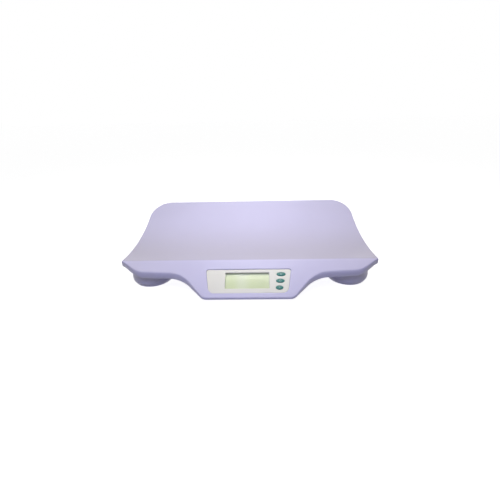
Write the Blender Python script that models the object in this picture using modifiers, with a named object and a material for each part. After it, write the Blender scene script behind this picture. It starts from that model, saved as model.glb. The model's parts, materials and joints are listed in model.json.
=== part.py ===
"""Digital baby weighing scale: a dished tray on a shallow base with load-cell feet, and a display console.

Metres, +Z up, origin on the table under the middle of the tray, +Y towards the raised back.
A run is a distance in plan from the crest line, the ridge between the bed and the sloping apron.
Console pieces are built in the apron's plane: local +Y points up the slope and local +Z out of it.
"""

import math

import bmesh
import bpy
import numpy as np
from mathutils import Matrix, Vector
from mathutils.geometry import interpolate_bezier

MM = 0.001

# Clearances and modelling steps
GAP = 0.3 * MM
OVERRUN = 5 * MM
WELD = 0.001 * MM
ARC_STEPS = 6
CURVE_STEPS = 9
ROUND_STEPS = 22
SMALL_ROUND_STEPS = 10
LEAF_STEPS = 6

# Tray in plan
TRAY_LENGTH = 551 * MM
BED_RUN = 263.5 * MM
APRON_RUN = 77 * MM
BACK_CORNER_RADIUS = 50 * MM
LIP_RUN = 28.7 * MM
LIP_OUTER_RUN = 26.5 * MM
LIP_OUTER_HALF = 222 * MM
LIP_INNER_HALF = 169 * MM
LIP_EASE = 12.5 * MM
FLANK_TOP_HALF = 119 * MM
FLANK_TOP_RUN = 50 * MM
FLANK_EASE = 23.5 * MM
TONGUE_HALF = 91 * MM
TONGUE_CORNER_RADIUS = 18.5 * MM
HORN_EASE = 20.5 * MM
HORN_LEAD = 19.5 * MM
HORN_ANGLE = math.radians(26)

# Tray from the side
CREST_HEIGHT = 60 * MM
CREST_EASE = 5 * MM
DISH_RADIUS = 426 * MM
DISH_LOW_RUN = 57.5 * MM
DISH_FACETS = 15
CREST_FACETS = 4
APRON_TILT = math.radians(30)
SKIN = 3 * MM
SKIRT_WALL = 3 * MM
SKIRT_DEPTH = 12.3 * MM
FLANK_SKIRT_DEPTH = 9.8 * MM
TONGUE_SKIRT_DEPTH = 4.5 * MM
EDGE_ROUND = 3 * MM
RIB_WIDTH = 2 * MM
RIB_DEPTH = 7 * MM
RIB_PITCH = 52 * MM
RIB_PAIRS = 4

# Base
BASE_WALL = 2.5 * MM
BASE_BOTTOM = 8 * MM
BELLY_PAST_FOOT = 6 * MM
BELLY_BACK_RUN = 210 * MM
BELLY_SHOULDER_RUN = 16 * MM
BELLY_SHOULDER_HALF = 150 * MM
BELLY_NECK_RUN = 22 * MM
BELLY_NECK_HALF = 104 * MM
BELLY_FRONT_RUN = 71.5 * MM
BELLY_FRONT_HALF = 74 * MM
BELLY_CORNER_RADIUS = 10 * MM
BELLY_EDGE_ROUND = 4 * MM

# Feet
FOOT_HALF = 219.5 * MM
FRONT_FOOT_RUN = 27.5 * MM
REAR_FOOT_RUN = 176 * MM
POD_RADIUS = 44.5 * MM
POD_BOTTOM_RADIUS = 42 * MM
POD_BOTTOM = 2.5 * MM
POD_WAIST = 16 * MM
POD_WAIST_RADIUS = 46.5 * MM
POD_SHOULDER = 30 * MM
PAD_RADIUS = 21.2 * MM
PAD_THICKNESS = 2.6 * MM
PAD_EASE = 0.8 * MM
CAP_RADIUS = 21.6 * MM
CAP_BODY = 3.4 * MM
CAP_FLANGE = 1.7 * MM
CAP_FLANGE_REACH = 3 * MM
CAP_BOSS_RADIUS = 4 * MM
CAP_BOSS = 4 * MM
RING_LIP = 2 * MM
RING_WALL = 2.5 * MM
RING_SLIP = 0.4 * MM
CELL_SIDE = 38 * MM
CELL_THICKNESS = 2.5 * MM
CELL_FRAME = 6 * MM
CELL_TONGUE_HALF = 6.5 * MM
CELL_SLOT = 3 * MM

# Base screws
BASE_SCREW_HALVES = (120 * MM, 175 * MM, 120 * MM)
BASE_SCREW_INSET = 15 * MM
BASE_SCREW_RUNS = (30 * MM, 110 * MM, BELLY_BACK_RUN - BASE_SCREW_INSET)
WELL_RADIUS = 6 * MM
WELL_WALL = 2 * MM
WELL_TOP = 32.5 * MM
BOSS_RADIUS = 4.5 * MM
SCREW_RADIUS = 1.4 * MM
SCREW_LENGTH = 12 * MM
SCREW_HEAD_RADIUS = 3.2 * MM
SCREW_HEAD = 2.2 * MM

# Console, measured down the slope from the crest line and inwards from the apron's surface
PANEL_TOP = 24 * MM
PANEL_BOTTOM = 78 * MM
PANEL_TOP_HALF = 88.8 * MM
PANEL_BOTTOM_HALF = 80 * MM
PANEL_CORNER_RADIUS = 8 * MM
PANEL_RECESS = 1.2 * MM
PANEL_THICKNESS = 3.2 * MM
PANEL_FLANGE = 2 * MM
CONSOLE_CLEARANCE = 1 * MM
LCD_X = -2.5 * MM
LCD_MIDDLE = 49.5 * MM
LCD_VIEW = (91 * MM, 36.5 * MM)
LCD_BORDER = 3 * MM
LCD_VIEW_RADIUS = 1.5 * MM
LENS_THICKNESS = 1.2 * MM
LCD_THICKNESS = 2 * MM
HOLDER_WALL = 4 * MM
BOARD_THICKNESS = 1.6 * MM
BOARD_TOP = 24.5 * MM
BOARD_BOTTOM = 77.5 * MM
BOARD_TOP_HALF = 80 * MM
BOARD_BOTTOM_HALF = 72 * MM
BOARD_CORNER_RADIUS = 2 * MM
POST_RADIUS = 2.4 * MM
POST_BORE = 1.2 * MM
POST_XS = (-64 * MM, 55 * MM)
POST_DROPS = (27.5 * MM, 74.6 * MM)
BOARD_SCREW_RADIUS = 0.9 * MM
BOARD_SCREW_HEAD_RADIUS = 1.9 * MM
BOARD_SCREW_HEAD = 1.4 * MM
BOARD_SCREW_LENGTH = 4.6 * MM

# Keys: places down the panel, and their widths
KEY_NAMES = ("button_key_top", "button_key_middle", "button_key_bottom")
KEY_XS = (67.9 * MM, 65.5 * MM, 63.1 * MM)
KEY_DROPS = (35.7 * MM, 51 * MM, 66.3 * MM)
KEY_WIDTHS = (18.5 * MM, 17.4 * MM, 15.2 * MM)
KEY_HEIGHT = 8.9 * MM
KEY_PROUD = 1.3 * MM
KEY_EDGE = 0.6 * MM
KEY_FLANGE = 1.1 * MM
KEY_FLANGE_THICKNESS = 1 * MM
KEY_TRAVEL = 0.8 * MM
KEY_SLIP = 0.35 * MM
MAT_THICKNESS = 1.2 * MM
MAT_MARGIN = 1 * MM
DOME_RADIUS = 3 * MM

# Parts on the back of the board
CHIP_SIDE = 12 * MM
CHIP_THICKNESS = 1.6 * MM
CHIP_X = 4 * MM
CHIP_DROP = 60 * MM
BUZZER_RADIUS = 7 * MM
BUZZER_THICKNESS = 3 * MM
BUZZER_X = -44 * MM
BUZZER_DROP = 58 * MM

# Battery bay
CELL_COUNT = 4
BATTERY_RADIUS = 7.1 * MM
BATTERY_LENGTH = 50.5 * MM
BATTERY_PITCH = 14.8 * MM
BATTERY_NUB_RADIUS = 2.75 * MM
BATTERY_NUB = 1 * MM
BATTERY_EDGE = 0.8 * MM
CONTACT_THICKNESS = 0.6 * MM
CONTACT_HEIGHT = 10 * MM
LEAF_REACH = 3 * MM
LEAF_HALF = 4 * MM
LEAF_WIDTH = 6 * MM
BAY_FRONT_RUN = 72 * MM
BAY_WALL = 2 * MM
DOOR_THICKNESS = 2 * MM
DOOR_HINGE_INSET = 1 * MM
DOOR_FOOT = 6 * MM
TAB_HALF = 4 * MM
TAB_OFFSET = 18 * MM
TAB_REACH = 4 * MM
TAB_THICKNESS = 1.5 * MM
LATCH_WIDTH = 16 * MM
LATCH_DEPTH = 10 * MM
LATCH_SLOT = 1 * MM

# Leads
LEAD_RADIUS = 1.25 * MM
LEAD_STEPS = 3
LEAD_HOLE_RADIUS = 2.6 * MM
LEAD_START = 16.5 * MM
LEAD_RISE = 8 * MM
LEAD_DROP = 42 * MM
LEAD_TAIL = 9 * MM
BATTERY_LEAD_Z = 20 * MM
# Route points (distance from the middle, run, height), chosen by hand; mirrored for the other side
FRONT_LEAD_ROUTE = (
    (188 * MM, 32 * MM, 24 * MM),
    (148 * MM, 30 * MM, 21 * MM),
    (100 * MM, 6 * MM, 20 * MM),
    (64 * MM, -8 * MM, 18 * MM),
)
FRONT_LEAD_END = 46 * MM
REAR_LEAD_ROUTE = (
    (190 * MM, 160 * MM, 24 * MM),
    (150 * MM, 118 * MM, 21 * MM),
    (98 * MM, 62 * MM, 20 * MM),
    (58 * MM, 20 * MM, 20 * MM),
    (36 * MM, -6 * MM, 17 * MM),
)
REAR_LEAD_END = 28 * MM
BATTERY_LEAD_ROUTE = (
    (0.0, 44 * MM, 19 * MM),
    (0.0, 14 * MM, 18 * MM),
    (0.0, -10 * MM, 18 * MM),
)

# Heights and depths that follow from the sizes above
CREST_Y = (APRON_RUN - BED_RUN) / 2
FLOOR_TOP = BASE_BOTTOM + BASE_WALL
HEADROOM = CREST_HEIGHT + DISH_RADIUS / 2
CAP_BOTTOM = PAD_THICKNESS + GAP
FLANGE_BOTTOM = CAP_BOTTOM + CAP_BODY
FLANGE_TOP = FLANGE_BOTTOM + CAP_FLANGE
BOSS_TOP = FLANGE_TOP + CAP_BOSS
RING_BOTTOM = FLANGE_BOTTOM - GAP - RING_LIP
CELL_BOTTOM = BOSS_TOP + GAP
CELL_TOP = CELL_BOTTOM + CELL_THICKNESS
WEB_BOTTOM = CELL_TOP + GAP
WEB_TOP = WEB_BOTTOM + BASE_WALL
RING_INNER = CAP_RADIUS + CAP_FLANGE_REACH + RING_SLIP
RING_OUTER = RING_INNER + RING_WALL
FOOT_BORE = RING_OUTER + GAP
BELLY_HALF = FOOT_HALF + BELLY_PAST_FOOT
PANEL_BACK = PANEL_RECESS + PANEL_THICKNESS
SKIN_DEPTH = SKIN * math.cos(APRON_TILT)
LENS_FRONT = PANEL_BACK + GAP
LCD_FRONT = LENS_FRONT + LENS_THICKNESS + GAP
LCD_BACK = LCD_FRONT + LCD_THICKNESS
HOLDER_BACK = LCD_BACK + GAP
BOARD_FRONT = HOLDER_BACK + GAP
BOARD_BACK = BOARD_FRONT + BOARD_THICKNESS
MAT_FRONT = BOARD_FRONT - GAP - MAT_THICKNESS
KEY_BACK = PANEL_BACK + GAP + KEY_FLANGE_THICKNESS
DOME_HEIGHT = MAT_FRONT - KEY_BACK - KEY_TRAVEL - GAP
FEET = {
    "front_left": (-FOOT_HALF, FRONT_FOOT_RUN),
    "front_right": (FOOT_HALF, FRONT_FOOT_RUN),
    "rear_left": (-FOOT_HALF, REAR_FOOT_RUN),
    "rear_right": (FOOT_HALF, REAR_FOOT_RUN),
}


# Scene and materials


def clear_scene():
    for obj in list(bpy.data.objects):
        bpy.data.objects.remove(obj, do_unlink=True)


def new_collection(name):
    collection = bpy.data.collections.new(name)
    bpy.context.scene.collection.children.link(collection)
    return collection


def finish(name, colour, roughness, metallic=0.0):
    """A Principled material of one colour."""
    material = bpy.data.materials.new(name)
    material.use_nodes = True
    shader = material.node_tree.nodes["Principled BSDF"]
    shader.inputs["Base Color"].default_value = (*colour, 1.0)
    shader.inputs["Roughness"].default_value = roughness
    shader.inputs["Metallic"].default_value = metallic
    return material


clear_scene()
PARTS = new_collection("baby_scale")
CUTTERS = new_collection("cutters")
LILAC = finish("lilac_plastic", (0.62, 0.60, 0.81), 0.35)
WHITE = finish("white_plastic", (0.80, 0.80, 0.78), 0.35)
CLEAR = finish("clear_lens", (0.80, 0.85, 0.62), 0.1)
LCD_GREEN = finish("lcd_glass", (0.62, 0.70, 0.45), 0.2)
TEAL = finish("teal_rubber", (0.08, 0.33, 0.30), 0.5)
DARK = finish("black_rubber", (0.05, 0.05, 0.06), 0.8)
STEEL = finish("bright_steel", (0.60, 0.60, 0.62), 0.3, 1.0)
BOARD = finish("circuit_board", (0.05, 0.22, 0.10), 0.5)
GREY = finish("grey_plastic", (0.35, 0.35, 0.38), 0.5)
WIRE = finish("wire_sheath", (0.25, 0.25, 0.27), 0.5)


# Shared shapes


def add_object(name, data, material, parent=None):
    """Links a new object: a part with a material, or without one a hidden cutter."""
    obj = bpy.data.objects.new(name, data)
    obj.parent = parent
    if material:
        data.materials.append(material)
        PARTS.objects.link(obj)
    else:
        obj.hide_render = True
        obj.display_type = "WIRE"
        CUTTERS.objects.link(obj)
    return obj


def from_bmesh(name, bm, material=None, parent=None):
    bmesh.ops.recalc_face_normals(bm, faces=bm.faces)
    mesh = bpy.data.meshes.new(name)
    bm.to_mesh(mesh)
    bm.free()
    mesh.shade_smooth()
    mesh.set_sharp_from_angle(angle=math.radians(35))
    return add_object(name, mesh, material, parent)


def add_box(bm, low, high):
    low, high = Vector(low), Vector(high)
    place = Matrix.Translation((low + high) / 2) @ Matrix.Diagonal((*(high - low), 1.0))
    bmesh.ops.create_cube(bm, size=1, matrix=place)


def add_post(bm, x, y, radius, low, high, steps=SMALL_ROUND_STEPS):
    place = Matrix.Translation((x, y, (low + high) / 2))
    bmesh.ops.create_cone(
        bm, cap_ends=True, segments=steps, radius1=radius, radius2=radius, depth=high - low, matrix=place
    )


def turned(name, profile, material=None, closed=False, steps=ROUND_STEPS, parent=None):
    """A profile (radius, height), which runs down its outer side, turned about its own Z axis."""
    bm = bmesh.new()
    points = [bm.verts.new((radius, 0, height)) for radius, height in profile]
    for start, end in zip(points, points[1:] + points[:1] if closed else points[1:]):
        bm.edges.new((start, end))
    mesh = bpy.data.meshes.new(name)
    bm.to_mesh(mesh)
    bm.free()
    obj = add_object(name, mesh, material, parent)
    screw = obj.modifiers.new("turn", "SCREW")
    screw.steps = steps
    screw.render_steps = steps
    screw.use_merge_vertices = True
    screw.merge_threshold = WELD
    screw.use_smooth_shade = False
    return obj


def rounded(corners):
    """An outline through corners (x, y, radius), each turned with an arc of its radius."""
    points = []
    for index, (x, y, radius) in enumerate(corners):
        here = Vector((x, y))
        if not radius:
            points.append(here)
            continue
        before = (Vector(corners[index - 1][:2]) - here).normalized()
        after = (Vector(corners[(index + 1) % len(corners)][:2]) - here).normalized()
        half = before.angle(after) / 2
        centre = here + (before + after).normalized() * (radius / math.sin(half))
        spoke = here + before * (radius / math.tan(half)) - centre
        sweep = math.copysign(math.pi - 2 * half, after.cross(before))
        for step in range(ARC_STEPS + 1):
            points.append(centre + Matrix.Rotation(sweep * step / ARC_STEPS, 2) @ spoke)
    return points


def moved_in(outline, distance):
    """The outline, counter-clockwise, with every side moved inwards by a distance."""
    points = np.array([tuple(point) for point in outline])
    along = np.roll(points, -1, axis=0) - points
    along /= np.linalg.norm(along, axis=1, keepdims=True)
    after = np.stack([-along[:, 1], along[:, 0]], axis=1)
    before = np.roll(after, 1, axis=0)
    shift = (before + after) / (1 + (before * after).sum(axis=1, keepdims=True))
    return [Vector(point) for point in points + distance * shift]


def ellipse(x, y, width, height):
    turns = [2 * math.pi * step / ROUND_STEPS for step in range(ROUND_STEPS)]
    return [Vector((x + width / 2 * math.cos(turn), y + height / 2 * math.sin(turn))) for turn in turns]


def plate_bmesh(outlines, low, high):
    """A closed plate between two heights over flat outlines; an outline inside another is a hole."""
    curve = bpy.data.curves.new("outline", "CURVE")
    curve.dimensions = "2D"
    curve.fill_mode = "BOTH"
    curve.extrude = (high - low) / 2
    for outline in outlines:
        spline = curve.splines.new("POLY")
        spline.points.add(len(outline) - 1)
        for point, (x, y) in zip(spline.points, outline):
            point.co = (x, y, 0, 1)
        spline.use_cyclic_u = True
    holder = bpy.data.objects.new("outline", curve)
    PARTS.objects.link(holder)
    graph = bpy.context.evaluated_depsgraph_get()
    mesh = bpy.data.meshes.new_from_object(holder.evaluated_get(graph))
    bm = bmesh.new()
    bm.from_mesh(mesh)
    bmesh.ops.remove_doubles(bm, verts=bm.verts, dist=WELD)
    bmesh.ops.dissolve_limit(bm, angle_limit=math.radians(0.5), verts=bm.verts, edges=bm.edges)
    bmesh.ops.translate(bm, verts=bm.verts, vec=(0, 0, (low + high) / 2))
    bpy.data.objects.remove(holder)
    bpy.data.curves.remove(curve)
    bpy.data.meshes.remove(mesh)
    return bm


def plate(name, outlines, low, high, material=None, parent=None):
    return from_bmesh(name, plate_bmesh(outlines, low, high), material, parent)


def boolean(obj, tool, operation):
    modifier = obj.modifiers.new(f"{operation.lower()}_{tool.name}", "BOOLEAN")
    modifier.operation = operation
    modifier.solver = "EXACT"
    modifier.object = tool


def cut(obj, tool):
    boolean(obj, tool, "DIFFERENCE")


def join(obj, tool):
    boolean(obj, tool, "UNION")


def settled_bmesh(obj):
    """The object's mesh with its modifiers worked in; the object itself is removed."""
    bpy.context.view_layer.update()
    graph = bpy.context.evaluated_depsgraph_get()
    mesh = bpy.data.meshes.new_from_object(obj.evaluated_get(graph))
    bm = bmesh.new()
    bm.from_mesh(mesh)
    bpy.data.meshes.remove(mesh)
    bpy.data.objects.remove(obj)
    return bm


# The tray's surface, which the base and the console follow


def dish_height(run):
    """Height of the dish above the crest: a circular arc through the crest, lowest at DISH_LOW_RUN."""
    crest = math.sqrt(DISH_RADIUS**2 - DISH_LOW_RUN**2)
    return crest - math.sqrt(DISH_RADIUS**2 - (run - DISH_LOW_RUN) ** 2)


def surface_stations():
    """World depths and heights of the tray's top surface, from the tongue's front edge to the back rim."""
    apron_end = Vector((-CREST_EASE, -CREST_EASE * math.tan(APRON_TILT)))
    dish_start = Vector((CREST_EASE, dish_height(CREST_EASE)))
    crest = Vector((0, 0))
    third_share = 2 / 3
    handles = [apron_end.lerp(crest, third_share), dish_start.lerp(crest, third_share)]
    stations = [Vector((-APRON_RUN, -APRON_RUN * math.tan(APRON_TILT)))]
    stations += interpolate_bezier(apron_end, *handles, dish_start, CREST_FACETS + 1)
    for step in range(1, DISH_FACETS + 1):
        run = CREST_EASE + (BED_RUN - CREST_EASE) * step / DISH_FACETS
        stations.append(Vector((run, dish_height(run))))
    return np.array([(CREST_Y + run, CREST_HEIGHT + height) for run, height in stations])


STATIONS = surface_stations()


def surface_height(y):
    return float(np.interp(y, STATIONS[:, 0], STATIONS[:, 1]))


def skirt_depth(y):
    """How far the skirt hangs: full at the lip, less down the flanks, least at the tongue."""
    runs = (CREST_Y - APRON_RUN, CREST_Y - FLANK_TOP_RUN, CREST_Y - LIP_RUN)
    depths = (TONGUE_SKIRT_DEPTH, FLANK_SKIRT_DEPTH, SKIRT_DEPTH)
    return float(np.interp(y, runs, depths))


def slice_at(bm, y):
    geometry = bm.verts[:] + bm.edges[:] + bm.faces[:]
    bmesh.ops.bisect_plane(bm, geom=geometry, dist=WELD, plane_co=(0, y, 0), plane_no=(0, 1, 0))


def drape(bm):
    """Lifts a flat mesh, whose zero is the tray's top surface, onto the curved surface strip by strip."""
    for y in STATIONS[1:-1, 0]:
        slice_at(bm, y)
    for vert in bm.verts:
        vert.co.z += surface_height(vert.co.y)
    return bm


def tray_half_corners():
    """The tray's right-hand outline in runs, from the tongue's corner round to the back corner."""
    flank_top = Vector((FLANK_TOP_HALF, -FLANK_TOP_RUN))
    flank = (flank_top - Vector((TONGUE_HALF, -APRON_RUN))).normalized()
    lip_inner = Vector((LIP_INNER_HALF, -LIP_RUN))
    lip_outer = Vector((LIP_OUTER_HALF, -LIP_OUTER_RUN))
    tip = Vector((TRAY_LENGTH / 2, 0))
    horn = Vector((math.cos(HORN_ANGLE), math.sin(HORN_ANGLE)))
    sweep = interpolate_bezier(
        flank_top, flank_top + flank * FLANK_EASE, lip_inner - Vector((LIP_EASE, 0)), lip_inner, CURVE_STEPS
    )
    sweep += interpolate_bezier(
        lip_outer, lip_outer + Vector((HORN_EASE, 0)), tip - horn * HORN_LEAD, tip, CURVE_STEPS
    )
    corners = [(TONGUE_HALF, -APRON_RUN, TONGUE_CORNER_RADIUS)]
    corners += [(x, y, 0) for x, y in sweep]
    corners.append((TRAY_LENGTH / 2, BED_RUN, BACK_CORNER_RADIUS))
    return corners


def belly_half_corners():
    """The base's right-hand outline in runs, drawn well inside the tray's."""
    return [
        (BELLY_FRONT_HALF, -BELLY_FRONT_RUN, BELLY_CORNER_RADIUS),
        (BELLY_NECK_HALF, -BELLY_NECK_RUN, BELLY_CORNER_RADIUS),
        (BELLY_SHOULDER_HALF, BELLY_SHOULDER_RUN, BELLY_CORNER_RADIUS),
        (BELLY_HALF, BELLY_SHOULDER_RUN, BELLY_CORNER_RADIUS),
        (BELLY_HALF, BELLY_BACK_RUN, BELLY_CORNER_RADIUS),
    ]


def mirrored_outline(half_corners, inset=0.0):
    """The whole outline in world places, from its right half, moved in by an inset."""
    left = [(-x, y, radius) for x, y, radius in reversed(half_corners)]
    outline = rounded(half_corners + left)
    return moved_in([Vector((x, CREST_Y + y)) for x, y in outline], inset)


# Tray


def rim_edges(bm, height):
    return [edge for edge in bm.edges if all(abs(vert.co.z - height) < WELD for vert in edge.verts)]


def underside_ribs():
    """Ribs under the overhanging back, from behind the base to the skirt."""
    bm = bmesh.new()
    front = CREST_Y + max(BELLY_BACK_RUN, REAR_FOOT_RUN + POD_WAIST_RADIUS) + GAP
    back = CREST_Y + BED_RUN - SKIRT_WALL / 2
    for index in range(-RIB_PAIRS, RIB_PAIRS + 1):
        x = index * RIB_PITCH
        add_box(bm, (x - RIB_WIDTH / 2, front, -SKIN - RIB_DEPTH), (x + RIB_WIDTH / 2, back, -SKIN / 2))
    return from_bmesh("underside_ribs", bm)


def screw_bosses():
    """Posts under the tray that take the base screws, cut level just above the screw wells."""
    bm = bmesh.new()
    for x, y in base_screw_places():
        add_post(bm, x, y, BOSS_RADIUS, -HEADROOM, -SKIN / 2)
    drape(bm)
    geometry = bm.verts[:] + bm.edges[:] + bm.faces[:]
    level = (0, 0, WELL_TOP + GAP)
    bmesh.ops.bisect_plane(
        bm, geom=geometry, dist=WELD, plane_co=level, plane_no=(0, 0, 1), clear_inner=True
    )
    bmesh.ops.holes_fill(bm, edges=bm.edges[:])
    return from_bmesh("tray_screw_bosses", bm)


def base_screw_places():
    places = []
    for half, run in zip(BASE_SCREW_HALVES, BASE_SCREW_RUNS):
        places += [(-half, CREST_Y + run), (half, CREST_Y + run)]
    return places


def screw_bores(name, radius, low, high):
    bm = bmesh.new()
    for x, y in base_screw_places():
        add_post(bm, x, y, radius, low, high)
    return from_bmesh(name, bm)


def make_tray():
    bm = plate_bmesh([mirrored_outline(tray_half_corners())], -SKIRT_DEPTH, 0)
    bmesh.ops.bevel(
        bm, geom=rim_edges(bm, 0), offset=EDGE_ROUND, segments=2, profile=0.5, affect="EDGES"
    )
    flat = from_bmesh("flat_tray", bm)
    hollow_outline = mirrored_outline(tray_half_corners(), SKIRT_WALL)
    cut(flat, plate("tray_hollow", [hollow_outline], -SKIRT_DEPTH - OVERRUN, -SKIN))
    join(flat, underside_ribs())
    bm = settled_bmesh(flat)
    for y in STATIONS[1:-1, 0]:
        slice_at(bm, y)
    for vert in bm.verts:
        if vert.co.z < -SKIRT_DEPTH + WELD:
            vert.co.z = -skirt_depth(vert.co.y)
    tray = from_bmesh("tray_shell", drape(bm), LILAC)
    join(tray, screw_bosses())
    cut(tray, screw_bores("boss_bores", SCREW_RADIUS + GAP, WELL_TOP - OVERRUN, WELL_TOP + SCREW_LENGTH))
    window = moved_in(panel_outline(), -GAP)
    cut(tray, plate("panel_window", [window], -SKIRT_DEPTH, OVERRUN, parent=CONSOLE))
    return tray


# Base


def pod_solid(name, x, run):
    """A foot pod: a bowl that narrows to its bottom rim and rises straight into the belly."""
    profile = [
        (0, HEADROOM),
        (POD_RADIUS, HEADROOM),
        (POD_RADIUS, POD_SHOULDER),
        (POD_WAIST_RADIUS, POD_WAIST),
        ((POD_WAIST_RADIUS + POD_BOTTOM_RADIUS + EDGE_ROUND) / 2, (POD_WAIST + POD_BOTTOM) / 2),
        (POD_BOTTOM_RADIUS, POD_BOTTOM),
        (0, POD_BOTTOM),
    ]
    pod = turned(name, profile, steps=ROUND_STEPS + SMALL_ROUND_STEPS)
    pod.location = (x, CREST_Y + run, 0)
    return pod


def foot_cylinders(name, radius, low, high):
    bm = bmesh.new()
    for x, run in FEET.values():
        add_post(bm, x, CREST_Y + run, radius, low, high, ROUND_STEPS)
    return from_bmesh(name, bm)


def lead_hole_places():
    """Where each load cell's lead rises, on the side of its pod that faces the middle."""
    return {name: (x - math.copysign(LEAD_START, x), CREST_Y + run) for name, (x, run) in FEET.items()}


def lead_holes():
    bm = bmesh.new()
    for x, y in lead_hole_places().values():
        add_post(bm, x, y, LEAD_HOLE_RADIUS, WEB_BOTTOM - OVERRUN / 2, WEB_TOP + OVERRUN / 2)
    return from_bmesh("lead_holes", bm)


def bay_limits():
    """Inner limits of the battery bay: low and high x, front and back y, and its roof."""
    half = (CELL_COUNT * BATTERY_PITCH) / 2 + GAP
    front = CREST_Y + BAY_FRONT_RUN
    back = front + BATTERY_LENGTH + LEAF_REACH + 2 * CONTACT_THICKNESS + 4 * GAP
    roof = BASE_BOTTOM + DOOR_THICKNESS + 2 * BATTERY_RADIUS + 2 * GAP
    return half, front, back, roof


def door_limits():
    """Front and back edges of the battery door; it starts ahead of the bay so that its tabs have room."""
    half, front, back, _ = bay_limits()
    return half - GAP, front - BAY_WALL - DOOR_FOOT, back - GAP


def console_bay():
    """Room round the bezel's flange where the belly's walls would reach it."""
    reach = PANEL_TOP_HALF + PANEL_FLANGE + OVERRUN / 2
    bm = bmesh.new()
    low = (-reach, -PANEL_BOTTOM - PANEL_FLANGE - CONSOLE_CLEARANCE, -PANEL_BACK - CONSOLE_CLEARANCE)
    high = (reach, -PANEL_TOP + PANEL_FLANGE + CONSOLE_CLEARANCE, SKIRT_DEPTH)
    add_box(bm, low, high)
    return from_bmesh("console_bay", bm, parent=CONSOLE)


def under_tray():
    """Everything above the tray's underside, less a gap: what the base's walls stop short of."""
    bm = bmesh.new()
    low = (-TRAY_LENGTH, CREST_Y - APRON_RUN, -SKIN - GAP)
    add_box(bm, low, (TRAY_LENGTH, CREST_Y + BED_RUN, HEADROOM * 2))
    return from_bmesh("under_tray", drape(bm))


def make_base():
    belly = belly_half_corners()
    bm = plate_bmesh([mirrored_outline(belly)], BASE_BOTTOM, HEADROOM - OVERRUN)
    edges = rim_edges(bm, BASE_BOTTOM)
    bmesh.ops.bevel(bm, geom=edges, offset=BELLY_EDGE_ROUND, segments=3, profile=0.5, affect="EDGES")
    base = from_bmesh("base_cover", bm, LILAC)
    floor_hollow = plate(
        "floor_hollow", [mirrored_outline(belly, BASE_WALL)], FLOOR_TOP, WEB_TOP + OVERRUN
    )
    for name, (x, run) in FEET.items():
        pod = pod_solid(f"pod_{name}", x, run)
        join(base, pod)
        cut(floor_hollow, pod)
    cut(base, floor_hollow)
    cut(base, plate("belly_hollow", [mirrored_outline(belly, BASE_WALL)], WEB_TOP + BASE_WALL, HEADROOM))
    cut(base, foot_cylinders("pod_hollows", POD_RADIUS - BASE_WALL, WEB_TOP, HEADROOM + OVERRUN))
    join(base, screw_bores("screw_wells", WELL_RADIUS, BASE_BOTTOM + BASE_WALL / 2, WELL_TOP))

    half, front, back, roof = bay_limits()
    bay = bmesh.new()
    low = (-half - BAY_WALL, front - BAY_WALL, BASE_BOTTOM + DOOR_THICKNESS + GAP)
    add_box(bay, low, (half + BAY_WALL, back + BAY_WALL, roof + BAY_WALL))
    join(base, from_bmesh("bay_box", bay))
    cut(base, under_tray())
    cut(base, console_bay())
    cut(base, foot_cylinders("foot_bores", FOOT_BORE, -OVERRUN, WEB_BOTTOM))
    cut(base, lead_holes())
    cut(base, screw_bores("well_bores", WELL_RADIUS - WELL_WALL, -OVERRUN, WELL_TOP - BASE_WALL))
    cut(base, screw_bores("shank_holes", SCREW_RADIUS + GAP, 0, WELL_TOP + OVERRUN))

    opening = bmesh.new()
    add_box(opening, (-half, front, -OVERRUN), (half, back, roof))
    cut(base, from_bmesh("bay_opening", opening))
    door_half, door_front, _ = door_limits()
    porch = bmesh.new()
    low = (-door_half - GAP, door_front - GAP, -OVERRUN)
    add_box(porch, low, (door_half + GAP, front + OVERRUN, FLOOR_TOP + GAP))
    cut(base, from_bmesh("door_porch", porch))
    # So many round cuts meet in this shell that the exact solver leaves slits between them
    for modifier in [*base.modifiers, *floor_hollow.modifiers]:
        modifier.solver = "MANIFOLD"


# Feet


def make_load_cell(name, x, y):
    """A half-bridge cell: a square steel frame with a tongue that the foot presses."""
    bm = bmesh.new()
    half = CELL_SIDE / 2
    add_box(bm, (x - half, y - half, CELL_BOTTOM), (x + half, y + half, CELL_TOP))
    cell = from_bmesh(name, bm, STEEL)
    inner = half - CELL_FRAME
    low, high = CELL_BOTTOM - OVERRUN, CELL_TOP + OVERRUN
    for side in (-1, 1):
        edges = sorted((side * CELL_TONGUE_HALF, side * (CELL_TONGUE_HALF + CELL_SLOT)))
        slot = bmesh.new()
        add_box(slot, (x + edges[0], y - inner, low), (x + edges[1], y + inner, high))
        cut(cell, from_bmesh(f"{name}_slot", slot))
    end = bmesh.new()
    reach = CELL_TONGUE_HALF + CELL_SLOT / 2
    add_box(end, (x - reach, y - inner, low), (x + reach, y - inner + CELL_SLOT, high))
    cut(cell, from_bmesh(f"{name}_end_slot", end))


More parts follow.
